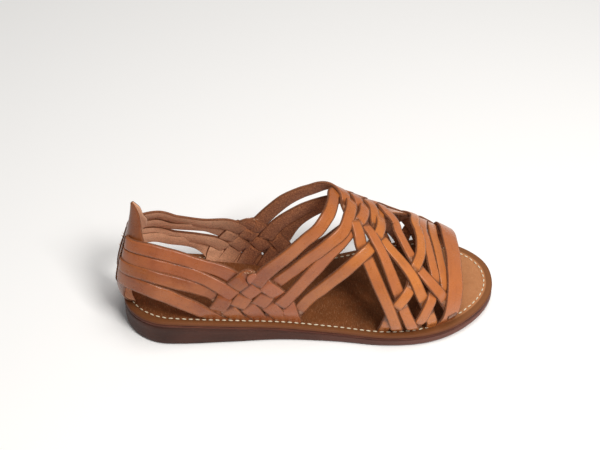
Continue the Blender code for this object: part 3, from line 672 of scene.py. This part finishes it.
grainLook, fleshLook, edgeLook, fibreLook = strapGrain(), strapFlesh(), strapEdge(), looseFibre()
insoleLook, midsoleLook = insoleLeather(), midsoleLeather()
rubberLook, threadLook = outsoleRubber(), waxedThread()
print("materials made")


# Straps

def mirrored(points):
    return [(along, -around) for along, around in points]


def quarterWidths(width):
    inner = strapForm["innerQuarterWidth"]
    return [(-0.28, strapForm["braidWidth"]), (-0.22, inner), (-0.07, inner), (-0.02, width),
            (0.22, width), (0.28, strapForm["braidWidth"])]


def strapList():
    straps = []

    def add(family, number, route, widths, feet=(True, True), tuck=0.0):
        straps.append(dict(family=family, number=number, route=route, widths=np.array(widths),
                           feet=feet, tuck=tuck))

    for number, (inner, route) in enumerate(zip(routes["innerQuarter"], routes["quarter"]), 1):
        width = strapForm["lowQuarterWidth"] if number == 4 else strapForm["quarterWidth"]
        roundHeel = [(-along, around) for along, around in inner[::-1]] + route
        add("quarter", number, roundHeel, quarterWidths(width),
            tuck=strapForm["tuck"] if number % 2 == 0 else 0.0)
    braid = [(0.0, strapForm["braidWidth"]), (1.0, strapForm["braidWidth"])]
    instep = [(0.36, strapForm["braidWidth"]), (0.44, strapForm["instepWidth"]),
              (0.58, strapForm["instepWidth"]), (0.68, strapForm["vampWidth"])]
    innerInstep = [start + mirrored([point for point in route if point[1] > 0])
                   for start, route in zip(routes["innerStart"], routes["instep"])]
    wideStart = [(0.36, strapForm["braidWidth"]), (0.52, strapForm["innerInstepWidth"]),
                 (0.60, strapForm["instepWidth"]), (0.68, strapForm["vampWidth"])]
    for side, turn, ways, widths in (("outer", list, routes["instep"], instep),
                                     ("inner", mirrored, innerInstep, wideStart)):
        add("quarter", 0, turn(routes["turnedDown"]), braid, (False, True))
        add(side, 0, turn(routes["turnedUp"]), braid, (True, False))
        for number, route in enumerate(ways, 1):
            add(side, number, route, widths)
    for number, route in zip((1, 2, 4, 5), routes["toe"]):
        width = strapForm["bandWidth"] if number == 5 else strapForm["toeWidth"]
        feet = (False, False) if number == 4 else (True, True)
        add("toe", number, route + mirrored(route[-2::-1]), [(0.0, width), (1.0, width)], feet,
            strapForm["tuck"] if number == 4 else 0.0)
    return straps


weaveOrder = {"toe": 0, "quarter": 1, "inner": 2, "outer": 3}


def liesOver(a, b):
    if weaveOrder[a["family"]] > weaveOrder[b["family"]]:
        return not liesOver(b, a)
    if a["family"] == b["family"]:
        return a["number"] > b["number"]
    even = (a["number"] + b["number"]) % 2 == 0
    return not even if a["family"] == "toe" else even


def widthAt(strap, t):
    return np.interp(np.sign(t) * shareOf(np.abs(t)), strap["widths"][:, 0], strap["widths"][:, 1])


def traceStrap(strap):
    points = np.array(strap["route"], float)
    points[:, 0] = stepOf(points[:, 0])
    places = lastPoint(points[:, 0], points[:, 1])
    lengths = np.concatenate([[0], np.cumsum(np.linalg.norm(np.diff(places, axis=0), axis=1))])
    fine = np.linspace(0, lengths[-1], 24 * len(points))
    strap["fine"] = np.stack([hermite(lengths, points[:, i])(fine) for i in range(2)], -1)
    strap["places"] = lastPoint(strap["fine"][:, 0], strap["fine"][:, 1])
    steps = np.linalg.norm(np.diff(strap["places"], axis=0), axis=1)
    strap["lengths"] = np.concatenate([[0], np.cumsum(steps)])
    strap["heading"] = unit(np.gradient(strap["places"], axis=0))
    strap["keys"] = []


def findCrossings(straps):
    for i, a in enumerate(straps):
        for b in straps[i + 1:]:
            gaps = np.linalg.norm(a["places"][:, None] - b["places"][None], axis=2)
            while gaps.min() < strapForm["meetWithin"]:
                m, n = np.unravel_index(np.argmin(gaps), gaps.shape)
                over = 1 if liesOver(a, b) else -1
                slant = max(np.linalg.norm(np.cross(a["heading"][m], b["heading"][n])), 0.5)
                reachA = strapForm["overlapShare"] * widthAt(b, b["fine"][n, 0]) / slant
                reachB = strapForm["overlapShare"] * widthAt(a, a["fine"][m, 0]) / slant
                a["keys"].append((a["lengths"][m], over, reachA))
                b["keys"].append((b["lengths"][n], -over, reachB))
                gaps[np.abs(a["lengths"] - a["lengths"][m]) < strapForm["meetApart"]] = 1


def liftLevels(strap):
    spans = [[length - reach, length + reach, sign * strapForm["weaveLift"]]
             for length, sign, reach in sorted(strap["keys"])]
    if strap["family"] == "quarter" and strap["number"]:
        beside = counterForm["thick"] / 2 + counterForm["slot"] + counterForm["strapRoom"]
        t = strap["fine"][:, 0]
        back = []
        for side in (-1, 1):
            slit = np.interp(stepOf(side * counterForm["slitAlong"]), t, strap["lengths"])
            clear = np.interp(stepOf(side * counterForm["clear"]), t, strap["lengths"])
            outward = slit + side * counterForm["slitRun"] / 2
            spans.append([min(clear, outward), max(clear, outward), beside])
            back.append(slit - side * counterForm["slitRun"] / 2)
            far = clear + side * counterForm["settle"]
            spans.append([far, far, 0.0])
        spans.append([back[0], back[1], -beside])
    spans.append([-0.012, -0.010, 0.0])
    total = strap["lengths"][-1]
    spans.append([total + 0.010, total + 0.012, 0.0])
    spans.sort()
    for a, b in zip(spans, spans[1:]):
        run = strapForm["weaveRun"]
        if b[0] - a[1] < run and a[2] != b[2]:
            middle = (a[1] + b[0]) / 2
            a[1] = max(middle - run / 2, a[0])
            b[0] = min(middle + run / 2, b[1])
    levels = [(x, span[2]) for span in spans for x in span[:2]]
    return np.array(sorted(levels, key=lambda level: level[0]))


def liftAt(levels, lengths):
    i = np.clip(np.searchsorted(levels[:, 0], lengths, side="right") - 1, 0, len(levels) - 2)
    gap = np.maximum(levels[i + 1, 0] - levels[i, 0], 1e-6)
    return levels[i, 1] + (levels[i + 1, 1] - levels[i, 1]) * ease((lengths - levels[i, 0]) / gap)


def strapProfile(halfWidth, halfThick):
    # points (across, out) anticlockwise from the underside's left corner, and which finish each side has
    r = strapForm["cornerRound"]
    points, sides = [], []
    for cx, cz, start in ((-1, -1, 180), (1, -1, 270), (1, 1, 0), (-1, 1, 90)):
        for turn in (0, 45, 90):
            angle = math.radians(start + turn)
            points.append((cx * (halfWidth - r) + r * math.cos(angle),
                           cz * (halfThick - r) + r * math.sin(angle)))
            sides.append(2)
        if cz < 0 and cx < 0:
            sides[-1] = 1
        if cz > 0 and cx > 0:
            sides[-1] = 0
            for share in (0.90, 0.66, 0.25, -0.25, -0.66, -0.90):
                points.append((halfWidth * share, halfThick + strapForm["crown"] * (1 - share ** 2)))
                sides.append(0)
    sides[5] = 2
    return np.array(points), sides


def wave(rng, lengths, period, size):
    phase = rng.uniform(0, 2 * np.pi, 3)
    return size * (np.sin(lengths / period * 2 * np.pi + phase[0]) * 0.5
                   + np.sin(lengths / period * 4.3 + phase[1]) * 0.3
                   + np.sin(lengths / period * 13.1 + phase[2]) * 0.2)


def addedEnd(values, end, change):
    extra = values[[end]] + change
    return np.concatenate([extra, values] if end == 0 else [values, extra])


def sweepStrap(strap, rng):
    total = strap["lengths"][-1]
    count = max(int(total / strapForm["station"]), 8)
    lengths = np.linspace(0, total, count)
    t = np.interp(lengths, strap["lengths"], strap["fine"][:, 0])
    around = np.interp(lengths, strap["lengths"], strap["fine"][:, 1])
    places, normals = lastFrame(t, around)
    forward = unit(np.gradient(places, axis=0))
    across = unit(np.cross(normals, forward))
    lift = liftAt(liftLevels(strap), lengths) - strap["tuck"] + wave(rng, lengths, 0.05, 0.00010)
    centres = places + normals * lift[:, None]
    centres += across * wave(rng, lengths, 0.06, strapForm["wander"])[:, None]
    widths = widthAt(strap, t) * (1 + wave(rng, lengths, 0.04, 0.035))
    for end, hasFoot in zip((0, -1), strap["feet"]):
        if not hasFoot and strap["number"] == 0:
            # the turned strap's fold is round
            inward = np.clip(np.abs(lengths - lengths[end]) / (widths[end] / 2), 0.03, 1)
            widths = widths * np.sqrt(1 - (1 - inward) ** 2)
    out = unit(np.cross(np.gradient(centres, axis=0), across))
    out = np.where((np.sum(out * normals, axis=1) < 0)[:, None], -out, out)
    for end, hasFoot in zip((0, -1), strap["feet"]):
        if not hasFoot:
            continue
        side = 1.0 if (around[end] > 0) == (t[end] > 0) else -1.0
        footOut = np.append(edgeNormal(abs(t[end]), side), 0.0)
        edge = np.array([-footOut[1], footOut[0], 0.0])
        aligned = float(np.dot(edge, across[end]))
        edge *= math.copysign(1 / max(abs(aligned), 0.5), aligned)
        away = np.abs(lengths - lengths[end])
        share = ease(1 - away / (widths[end] * strapForm["footTurn"]))[:, None]
        across = across * (1 - share) + edge * share
        out = out * (1 - share) + footOut * share
        centres = centres + (places[end] - footOut * strapForm["footInward"] - centres[end]) * share
    for end, hasFoot in zip((0, -1), strap["feet"]):
        if hasFoot:
            depth = strapForm["footDepth"]
            centres = addedEnd(centres, end, [0, 0, -depth])
            lengths = addedEnd(lengths, end, depth if end else -depth)
            across, out, widths = (addedEnd(values, end, 0.0) for values in (across, out, widths))
    # painted shade: a strap is darker just where it goes under another, standing for the shade the upper
    # strap casts there
    paintedDiveShade = np.zeros(len(lengths))
    for place, sign, reach in strap["keys"]:
        if sign < 0 and strap["number"] != 0:
            beyond = np.abs(lengths - place) - strapForm["diveReach"] * reach
            paintedDiveShade = np.maximum(paintedDiveShade, 1 - ease(beyond / strapForm["diveShade"]))
    return centres, across, out, widths, lengths, paintedDiveShade


def addStrapMap(piece, flat):
    layer = piece.data.uv_layers.new(name="strapMap")
    corners = np.zeros(len(piece.data.loops), np.int32)
    piece.data.loops.foreach_get("vertex_index", corners)
    layer.data.foreach_set("uv", flat[corners].astype(np.float32).ravel())


def makeStraps(name, straps, rng):
    vertices, faces, slots, tones, edges, mapped = [], [], [], [], [], []
    for strap in straps:
        centres, across, out, widths, lengths, paintedDiveShade = sweepStrap(strap, rng)
        tone = rng.uniform(0, 1)
        first = len(vertices)
        profiles = [strapProfile(width / 2, strapForm["thick"] / 2)[0] for width in widths]
        sides = strapProfile(widths[0] / 2, strapForm["thick"] / 2)[1]
        ringSize = len(sides)
        for i, points in enumerate(profiles):
            ring = centres[i] + points[:, :1] * across[i] + points[:, 1:] * out[i]
            vertices.extend(ring)
            tones.extend([tone] * ringSize)
            toEdge = np.abs(points[:, 0]) / (widths[i] / 2)
            # edgeShade: darker edges, partly burnished and partly painted shade lines, and painted shade
            # where the strap goes under another
            rubAndShadeLine = 0.8 * np.clip((toEdge - strapForm["rubAndShadeLineFrom"]) / strapForm["rubAndShadeLineRun"], 0, 1)
            edges.extend(np.maximum(rubAndShadeLine, paintedDiveShade[i] * 0.85))
            flat = np.column_stack([points[:, 0], np.full(ringSize, lengths[i])])
            mapped.extend(flat + [0.02 * tone, tone])
        for i in range(len(profiles) - 1):
            for j in range(ringSize):
                k = (j + 1) % ringSize
                a, b = first + i * ringSize + j, first + i * ringSize + k
                faces.append((a, b, b + ringSize, a + ringSize))
                slots.append(sides[j])
        faces.append(tuple(first + j for j in reversed(range(ringSize))))
        slots.append(2)
        faces.append(tuple(first + (len(profiles) - 1) * ringSize + j for j in range(ringSize)))
        slots.append(2)
    piece = newMesh(name, vertices, faces, [grainLook, fleshLook, edgeLook], slots)
    addAttribute(piece, "strapTone", tones)
    addAttribute(piece, "edgeShade", edges)
    addStrapMap(piece, np.array(mapped))
    return piece


allStraps = strapList()
for strap in allStraps:
    traceStrap(strap)
findCrossings(allStraps)
rng = np.random.default_rng(strapForm["seed"])
strapPieces = []
for name, families in (("quarterStraps", ("quarter",)), ("instepStraps", ("inner", "outer")),
                       ("toeStraps", ("toe",))):
    chosen = [strap for strap in allStraps if strap["family"] in families]
    strapPieces.append(makeStraps(name, chosen, rng))
    print(name, len(strapPieces[-1].data.polygons), "faces")


# Sole layers

def outlineRing(count, inset, toeInset=0.0):
    t = np.linspace(0, 1, count + 1)
    insets = inset + toeInset * ease((shareOf(t) - 0.66) / 0.30)
    return np.concatenate([edgePoint(t, -1, insets), edgePoint(t[-2:0:-1], 1, insets[-2:0:-1])])


def layeredSlab(name, rings, count, columns, materials, topHeight=None, bottomHeight=None):
    # rings from the underside's innermost to the upper face's innermost; both faces filled across
    vertices = list(np.concatenate(rings))
    ringSize = 2 * count
    faces = []
    for i in range(len(rings) - 1):
        for j in range(ringSize):
            a, b = i * ringSize + j, i * ringSize + (j + 1) % ringSize
            faces.append((a, b, b + ringSize, a + ringSize))
    for ringIndex, height, up in ((len(rings) - 1, topHeight, True), (0, bottomHeight, False)):
        ring = rings[ringIndex]
        rows = []
        for j in range(1, count):
            a, b = ring[j], ring[ringSize - j]
            row = [ringIndex * ringSize + j]
            for c in range(1, columns):
                point = a + (b - a) * c / columns
                if height is not None:
                    point = np.array([point[0], point[1], height(point[0], point[1])])
                row.append(len(vertices))
                vertices.append(point)
            row.append(ringIndex * ringSize + ringSize - j)
            rows.append(row)
        for row, nextRow in zip(rows, rows[1:]):
            for c in range(columns):
                face = (row[c], nextRow[c], nextRow[c + 1], row[c + 1])
                faces.append(face if up else face[::-1])
        for tip, row, first in ((0, rows[0], True), (count, rows[-1], False)):
            corner = ringIndex * ringSize + tip
            for c in range(columns):
                face = (corner, row[c], row[c + 1]) if first else (corner, row[c + 1], row[c])
                faces.append(face if up else face[::-1])
    return newMesh(name, vertices, faces, materials)


def withHeight(plan, heights):
    return np.column_stack([plan, heights])


def insoleTop(x, y):
    ripple = (0.00012 * math.sin(x * 210 + y * 90) + 0.00010 * math.sin(y * 260 - x * 70)
              + 0.00006 * math.sin(x * 620 + y * 480))
    return float(topAt(x)) + ripple - 0.0001


def makeInsole():
    count = soleDetail["stations"]
    thick = soleDetail["insoleThick"]
    rings = []
    # each ring of the layers: how far inside the outline, and how far below the upper face
    for inset, drop in ((0.0040, thick), (0.0006, thick), (0.0001, thick - 0.0004), (0.0000, thick - 0.0009),
                        (0.0001, 0.0006), (0.0004, 0.0002), (0.0010, 0.0), (0.0024, 0.0), (0.0034, 0.0)):
        plan = outlineRing(count, inset)
        rings.append(withHeight(plan, topAt(plan[:, 0]) - drop))
    groove = soleDetail["stitchInset"]
    for inset, depth in ((groove - 0.0005, 0.7), (groove, 1.0), (groove + 0.0005, 0.7),
                         (groove + 0.0011, 0.0)):
        plan = outlineRing(count, inset, soleDetail["toeStitchInset"])
        rings.append(withHeight(plan, topAt(plan[:, 0]) - depth * soleDetail["grooveDepth"]))
    piece = layeredSlab("insoleBoard", rings, count, 36, [insoleLook], insoleTop)
    spots = np.array([vertex.co[:2] for vertex in piece.data.vertices]) + [soleForm["originX"], 0]
    outline = outlineRing(count * 2, 0.0)
    nearest = np.array([np.min(np.hypot(*(outline - spot).T)) for spot in spots])
    addAttribute(piece, "inset", nearest)
    # share of the painted light at the open toe
    addAttribute(piece, "toeLitShare", ease((spots[:, 0] / soleForm["length"] - 0.80) / 0.16))
    return piece


def makeMidsole():
    count = soleDetail["stations"]
    upper = soleDetail["insoleThick"] + soleDetail["layerGap"] * 0.3
    lower = soleDetail["insoleThick"] + soleDetail["midsoleThick"] + soleDetail["layerGap"]
    rings = []
    for inset, drop in ((0.0060, lower), (0.0007, lower), (0.0003, lower - 0.0003), (0.0002, lower - 0.0010),
                        (0.0003, upper + 0.0004), (0.0006, upper), (0.0060, upper)):
        plan = outlineRing(count, inset)
        rings.append(withHeight(plan, topAt(plan[:, 0]) - drop))
    return layeredSlab("midsoleLayer", rings, count, 4, [midsoleLook])


def makeOutsole():
    count = soleDetail["outsoleStations"]
    under = soleDetail["insoleThick"] + soleDetail["midsoleThick"] + soleDetail["layerGap"] * 1.3
    edge = soleDetail["edgeRound"]
    rings = []
    for step in range(7):
        angle = step / 6 * math.pi / 2
        plan = outlineRing(count, edge * (1 - math.sin(angle)))
        rings.append(withHeight(plan, springAt(plan[:, 0]) + edge * (1 - math.cos(angle))))
    for share, pull in ((0.25, -0.00015), (0.5, 0.0001), (0.75, 0.0001), (0.94, 0.0), (1.0, 0.0004)):
        plan = outlineRing(count, pull)
        low = springAt(plan[:, 0]) + edge
        high = topAt(plan[:, 0]) - under
        rings.append(withHeight(plan, low + (high - low) * share))
    inner = outlineRing(count, 0.0050)
    rings.append(withHeight(inner, topAt(inner[:, 0]) - under))
    border = outlineRing(count, edge + 0.0040)
    rings.insert(0, withHeight(border, springAt(border[:, 0])))

    def tread(x, y):
        pitch = soleDetail["treadPitch"]
        bend = 0.003 * math.cos(y / 0.012)
        phase = ((x + bend) / pitch) % 1.0
        depth = max(0.0, math.sin(phase * math.pi) * 1.6 - 1.0) / 0.6
        side = -1 if y < 0 else 1
        edgeGap = abs(float(outlineY(min(max(x / soleForm["length"], 0.001), 0.999), side, 0.0)) - y)
        fade = min(max((edgeGap - 0.008) / 0.002, 0), 1)
        return float(springAt(x)) + soleDetail["treadDepth"] * depth * fade

    return layeredSlab("outsoleBlock", rings, count, 44, [rubberLook], None, tread)


insole = makeInsole()
midsole = makeMidsole()
outsole = makeOutsole()
print("sole made")


# Heel counter

def makeCounter():
    spreads = hermite(-np.array(counterForm["around"])[::-1], np.array(counterForm["spread"])[::-1])
    arounds = np.linspace(counterForm["around"][0], counterForm["around"][-1], counterForm["rows"])
    columns = np.linspace(-1, 1, counterForm["columns"] + 1)
    half = counterForm["thick"] / 2
    layers = []
    for around in arounds:
        t = stepOf(spreads(-around)) * columns
        places, normals = lastFrame(t, np.full_like(t, around))
        if around == -1.0:
            out = edgeNormal(np.abs(t), np.where(t < 0, 1.0, -1.0))
            normals = np.column_stack([out, np.zeros(len(out))])
            places = places - [0, 0, 0.0015]
        layers.append((places, normals))
    places = np.array([layer[0] for layer in layers])
    normals = np.array([layer[1] for layer in layers])
    rows, wide = places.shape[:2]
    # the rim is thinner: the top row and the first and last columns
    thin = np.ones((rows, wide))
    thin[:, 0] = thin[:, -1] = thin[-1, :] = 0.45
    outer = places + normals * (half * thin)[..., None]
    inner = places - normals * (half * thin)[..., None]
    vertices = np.concatenate([outer.reshape(-1, 3), inner.reshape(-1, 3)])
    back = rows * wide
    faces, slots = [], []
    for i in range(rows - 1):
        for j in range(wide - 1):
            a, b = i * wide + j, i * wide + j + 1
            c, d = b + wide, a + wide
            faces.append((a, d, c, b))
            slots.append(0)
            faces.append((back + a, back + b, back + c, back + d))
            slots.append(1)
    border = list(range(wide)) + [i * wide + wide - 1 for i in range(1, rows)]
    border += [(rows - 1) * wide + j for j in reversed(range(wide - 1))]
    border += [i * wide for i in reversed(range(1, rows - 1))]
    for a, b in zip(border, border[1:] + border[:1]):
        faces.append((a, b, back + b, back + a))
        slots.append(2)
    piece = newMesh("heelCounter", vertices, faces, [grainLook, fleshLook, edgeLook], slots)
    addAttribute(piece, "strapTone", np.full(len(vertices), 0.25))
    # painted shade: the whole counter is darkened to at least counterForm's shade, standing for the shade on
    # its side; its thin rim is darker still
    shade = np.tile(np.maximum((1 - thin) * 1.2, counterForm["shade"]).reshape(-1), 2)
    addAttribute(piece, "edgeShade", shade)
    addStrapMap(piece, vertices[:, 1:])
    return piece


counter = makeCounter()
print("counter made")


# Stitches round the insole, by Geometry Nodes

stitchForm = {
    "stations": 400,
    "pitch": 0.0046,
    "length": 0.0031,
    "radius": 0.00050,
    "sink": 0.00005,
    "tilt": 0.10,
    "seed": 5,
}


def newTree(name, sockets):
    # a tree with the geometry and the named inputs coming in, and what its input node gives
    tree = bpy.data.node_groups.new(name, "GeometryNodeTree")
    face = tree.interface
    face.new_socket("Geometry", in_out="INPUT", socket_type="NodeSocketGeometry")
    for socket, kind in sockets.items():
        face.new_socket(socket, in_out="INPUT", socket_type="NodeSocket" + kind)
    face.new_socket("Geometry", in_out="OUTPUT", socket_type="NodeSocketGeometry")
    return tree, tree.nodes.new("NodeGroupInput").outputs


def finishTree(tree, geometry, material):
    real = addNode(tree, "GeometryNodeRealizeInstances", {"Geometry": geometry})
    smooth = addNode(tree, "GeometryNodeSetShadeSmooth", {"Geometry": real.outputs[0]})
    finished = addNode(tree, "GeometryNodeSetMaterial",
                       {"Geometry": smooth.outputs[0], "Material": material})
    leaving = tree.nodes.new("NodeGroupOutput")
    tree.links.new(finished.outputs[0], leaving.inputs[0])
    return tree


def stitchTree():
    tree, given = newTree("stitchRow", {"Pitch": "Float", "Length": "Float", "Radius": "Float",
                                        "Tilt": "Float", "Seed": "Int", "Thread": "Material"})
    curve = addNode(tree, "GeometryNodeMeshToCurve", {"Mesh": given["Geometry"]})
    spaced = addNode(tree, "GeometryNodeResampleCurve",
                     {"Curve": curve.outputs[0], "Length": given["Pitch"]}, mode="LENGTH")
    ball = addNode(tree, "GeometryNodeMeshUVSphere", {"Segments": 8, "Rings": 7, "Radius": 1.0})
    halfLength = maths(tree, "MULTIPLY", given["Length"], 0.5)
    size = addNode(tree, "ShaderNodeCombineXYZ", {0: given["Radius"], 1: given["Radius"], 2: halfLength})
    oval = addNode(tree, "GeometryNodeTransform",
                   {"Geometry": ball.outputs["Mesh"], "Scale": size.outputs[0]})
    tangent = addNode(tree, "GeometryNodeInputTangent")
    turned = addNode(tree, "FunctionNodeAlignRotationToVector", {"Vector": tangent.outputs[0]}, axis="Z")
    less = maths(tree, "MULTIPLY", given["Tilt"], -1.0)
    low, high = (addNode(tree, "ShaderNodeCombineXYZ", {0: tilt, 1: tilt, 2: tilt}).outputs[0]
                 for tilt in (less, given["Tilt"]))
    shake = addNode(tree, "FunctionNodeRandomValue", {"Min": low, "Max": high, "Seed": given["Seed"]},
                    data_type="FLOAT_VECTOR")
    placed = addNode(tree, "GeometryNodeInstanceOnPoints",
                     {"Points": spaced.outputs[0], "Instance": oval.outputs[0],
                      "Rotation": turned.outputs[0]})
    shaken = addNode(tree, "GeometryNodeRotateInstances",
                     {"Instances": placed.outputs[0], "Rotation": shake.outputs[0]})
    return finishTree(tree, shaken.outputs[0], given["Thread"])


def growAlong(name, points, edges, tree, inputs):
    # the tree's result on guide lines, as a plain mesh
    mesh = bpy.data.meshes.new(name + "Guide")
    mesh.from_pydata((np.array(points) - [soleForm["originX"], 0, 0]).tolist(), edges, [])
    guide = newObject(name + "Guide", mesh)
    modifier = guide.modifiers.new(name, "NODES")
    modifier.node_group = tree
    for item in tree.interface.items_tree:
        if item.item_type == "SOCKET" and item.in_out == "INPUT" and item.name in inputs:
            modifier[item.identifier] = inputs[item.name]
    bpy.context.view_layer.update()
    evaluated = guide.evaluated_get(bpy.context.evaluated_depsgraph_get())
    grown = bpy.data.meshes.new_from_object(evaluated)
    guide.modifiers.remove(modifier)
    bpy.data.objects.remove(guide)
    grown.name = name
    return newObject(name, grown)


def makeStitches():
    plan = outlineRing(stitchForm["stations"], soleDetail["stitchInset"], soleDetail["toeStitchInset"])
    heights = topAt(plan[:, 0]) - soleDetail["grooveDepth"] + stitchForm["radius"] - stitchForm["sink"]
    count = len(plan)
    ring = [(i, (i + 1) % count) for i in range(count)]
    return growAlong("insoleStitches", withHeight(plan, heights), ring, stitchTree(), {
        "Pitch": stitchForm["pitch"], "Length": stitchForm["length"], "Radius": stitchForm["radius"],
        "Tilt": stitchForm["tilt"], "Seed": stitchForm["seed"], "Thread": threadLook})


stitches = makeStitches()
print("stitches made", len(stitches.data.polygons))


# Lacing beside the counter's slits and frayed fibres, swept along guide lines by Geometry Nodes

laceForm = {
    "rows": 12,
    "around": (-0.59, -0.86),
    "shares": (0.0006, 0.0042),
    "slant": 0.012,
    "out": 0.0014,
    "width": 0.0011,
    "whiskers": 16,
    "whiskerLength": 0.0030,
    "frays": 46,
    "fray": (0.322, 0.362, -0.694),
    "frayLength": 0.0016,
    "fibreWidth": 0.00022,
    "seed": 23,
}


def laceTree():
    tree, given = newTree("sweptLines", {"Width": "Float", "Station": "Float", "Leather": "Material"})
    curve = addNode(tree, "GeometryNodeMeshToCurve", {"Mesh": given["Geometry"]})
    kind = addNode(tree, "GeometryNodeCurveSplineType", {"Curve": curve.outputs[0]},
                   spline_type="CATMULL_ROM")
    spaced = addNode(tree, "GeometryNodeResampleCurve",
                     {"Curve": kind.outputs[0], "Length": given["Station"]}, mode="LENGTH")
    half = maths(tree, "MULTIPLY", given["Width"], 0.5)
    ring = addNode(tree, "GeometryNodeCurvePrimitiveCircle", {"Resolution": 6, "Radius": half})
    tube = addNode(tree, "GeometryNodeCurveToMesh",
                   {"Curve": spaced.outputs[0], "Profile Curve": ring.outputs["Curve"], "Fill Caps": True})
    return finishTree(tree, tube.outputs[0], given["Leather"])


def sweptLines(name, lines, width, leather, tree):
    points, edges = [], []
    for line in lines:
        first = len(points)
        points.extend(line)
        edges.extend((first + i, first + i + 1) for i in range(len(line) - 1))
    return growAlong(name, points, edges, tree,
                     {"Width": width, "Station": width * 0.8, "Leather": leather})


def offLast(share, around, out):
    place, normal = lastFrame(stepOf(share), around)
    return place + normal * out


def laceLines():
    near, far = laceForm["shares"]
    lines = []
    for side in (-1, 1):
        for around in np.linspace(*laceForm["around"], laceForm["rows"]):
            for slant in (-laceForm["slant"], laceForm["slant"]):
                path = []
                for step in (0.0, 0.3, 0.7, 1.0):
                    share = side * (near + (far - near) * step)
                    out = laceForm["out"] * (0.35 if step in (0.0, 1.0) else 1.0)
                    path.append(offLast(share, around + slant * step, out))
                lines.append(path)
    return lines


def fibreLines(rng):
    lines = []
    for side in (-1, 1):
        for _ in range(laceForm["whiskers"]):
            share = side * rng.uniform(0.0015, 0.0050)
            base = offLast(share, rng.uniform(*laceForm["around"][::-1]), laceForm["out"])
            lean = np.array([rng.uniform(-0.5, 0.1), side * -rng.uniform(0.1, 0.7), rng.uniform(0.3, 1.0)])
            lines.append([base, base + unit(lean) * laceForm["whiskerLength"] * rng.uniform(0.4, 1.0)])
    low, high, around = laceForm["fray"]
    for side in (1, -1):
        for share in np.linspace(low, high, laceForm["frays"]):
            base = offLast(share, side * around, rng.uniform(-0.0008, 0.0010))
            lean = np.array([rng.uniform(-0.6, 0.6), rng.uniform(-0.5, 0.5), rng.uniform(0.3, 1.0)])
            lines.append([base, base + unit(lean) * laceForm["frayLength"] * rng.uniform(0.4, 1.0)])
    return lines


sweepTree = laceTree()
laces = sweptLines("heelLaces", laceLines(), laceForm["width"], edgeLook, sweepTree)
strayFibres = fibreLines(np.random.default_rng(laceForm["seed"]))
fibres = sweptLines("looseFibres", strayFibres, laceForm["fibreWidth"], fibreLook, sweepTree)
print("laces and fibres made", len(laces.data.polygons), len(fibres.data.polygons))


# What stands for what

for piece in strapPieces:
    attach(piece, "root")
    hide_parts("upper")
for piece, node, slot in ((insole, "insole", "insole_leather"), (midsole, "midsole", "midsole_leather"),
                          (outsole, "outsole", "rubber"), (counter, "heel_counter", "counter_leather")):
    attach(piece, "root")
    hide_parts(node)
for piece, slot in ((stitches, "insole_leather"), (laces, "counter_leather"), (fibres, "strap_leather")):
    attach(piece, "root")


# Floor, light and camera

stageForm = {
    "floorSize": 4.0,
    "floorColour": rgb(0.97, 0.97, 0.97),
    "worldColour": rgb(1.0, 1.0, 1.0),
    "worldStrength": 0.22,
    "lights": {
        "frontPanel": ((0.46, -0.56, 1.00), (0.07, 0.0, 0.03), 0.36, 10.5, (1.0, 0.975, 0.94)),
        "skyPanel": ((0.24, 0.00, 1.30), (0.05, 0.0, 0.02), 0.6, 6.0, (1.0, 0.975, 0.94)),
    },
    "cameraPlace": (0.0603, -0.6203, 0.6990),
    "cameraTurn": -2.19,
    "cameraDown": 44.94,
    "lens": 78.0,
    "sensor": 36.0,
}


def stand(item, place, right, up, back):
    turn = Matrix(np.column_stack([right, up, back]).tolist())
    item.matrix_world = Matrix.Translation(place) @ turn.to_4x4()


def makeStage():
    half = stageForm["floorSize"] / 2
    mesh = bpy.data.meshes.new("floor")
    corners = [(-half, -half, 0), (half, -half, 0), (half, half, 0), (-half, half, 0)]
    mesh.from_pydata(corners, [], [(0, 1, 2, 3)])
    floor = newObject("floor", mesh)
    item, tree, shader = newMaterial("paleFloor")
    setSockets(tree, shader, {"Base Color": stageForm["floorColour"], "Roughness": 0.9})
    mesh.materials.append(item)
    world = bpy.data.worlds.new("paleRoom")
    world.use_nodes = True
    world.node_tree.nodes["Background"].inputs[0].default_value = stageForm["worldColour"]
    world.node_tree.nodes["Background"].inputs[1].default_value = stageForm["worldStrength"]
    bpy.context.scene.world = world
    for name, (place, aim, size, power, colour) in stageForm["lights"].items():
        lamp = bpy.data.lights.new(name, "AREA")
        lamp.energy, lamp.size, lamp.color = power, size, colour
        back = unit(np.array(place) - np.array(aim))
        right = unit(np.cross([0, 0, 1.0], back))
        stand(newObject(name, lamp), place, right, np.cross(back, right), back)


def makeCamera():
    turn, down = math.radians(stageForm["cameraTurn"]), math.radians(stageForm["cameraDown"])
    look = np.array([-math.sin(turn) * math.cos(down), math.cos(turn) * math.cos(down), -math.sin(down)])
    right = unit(np.cross(look, [0, 0, 1.0]))
    up = np.cross(right, look)
    data = bpy.data.cameras.new("photoCamera")
    data.lens, data.sensor_width, data.clip_start = stageForm["lens"], stageForm["sensor"], 0.01
    camera = newObject("photoCamera", data)
    stand(camera, stageForm["cameraPlace"], right, up, -look)
    bpy.context.scene.camera = camera
    bpy.context.scene.view_settings.view_transform = "Standard"


makeStage()
makeCamera()
print("stage made")
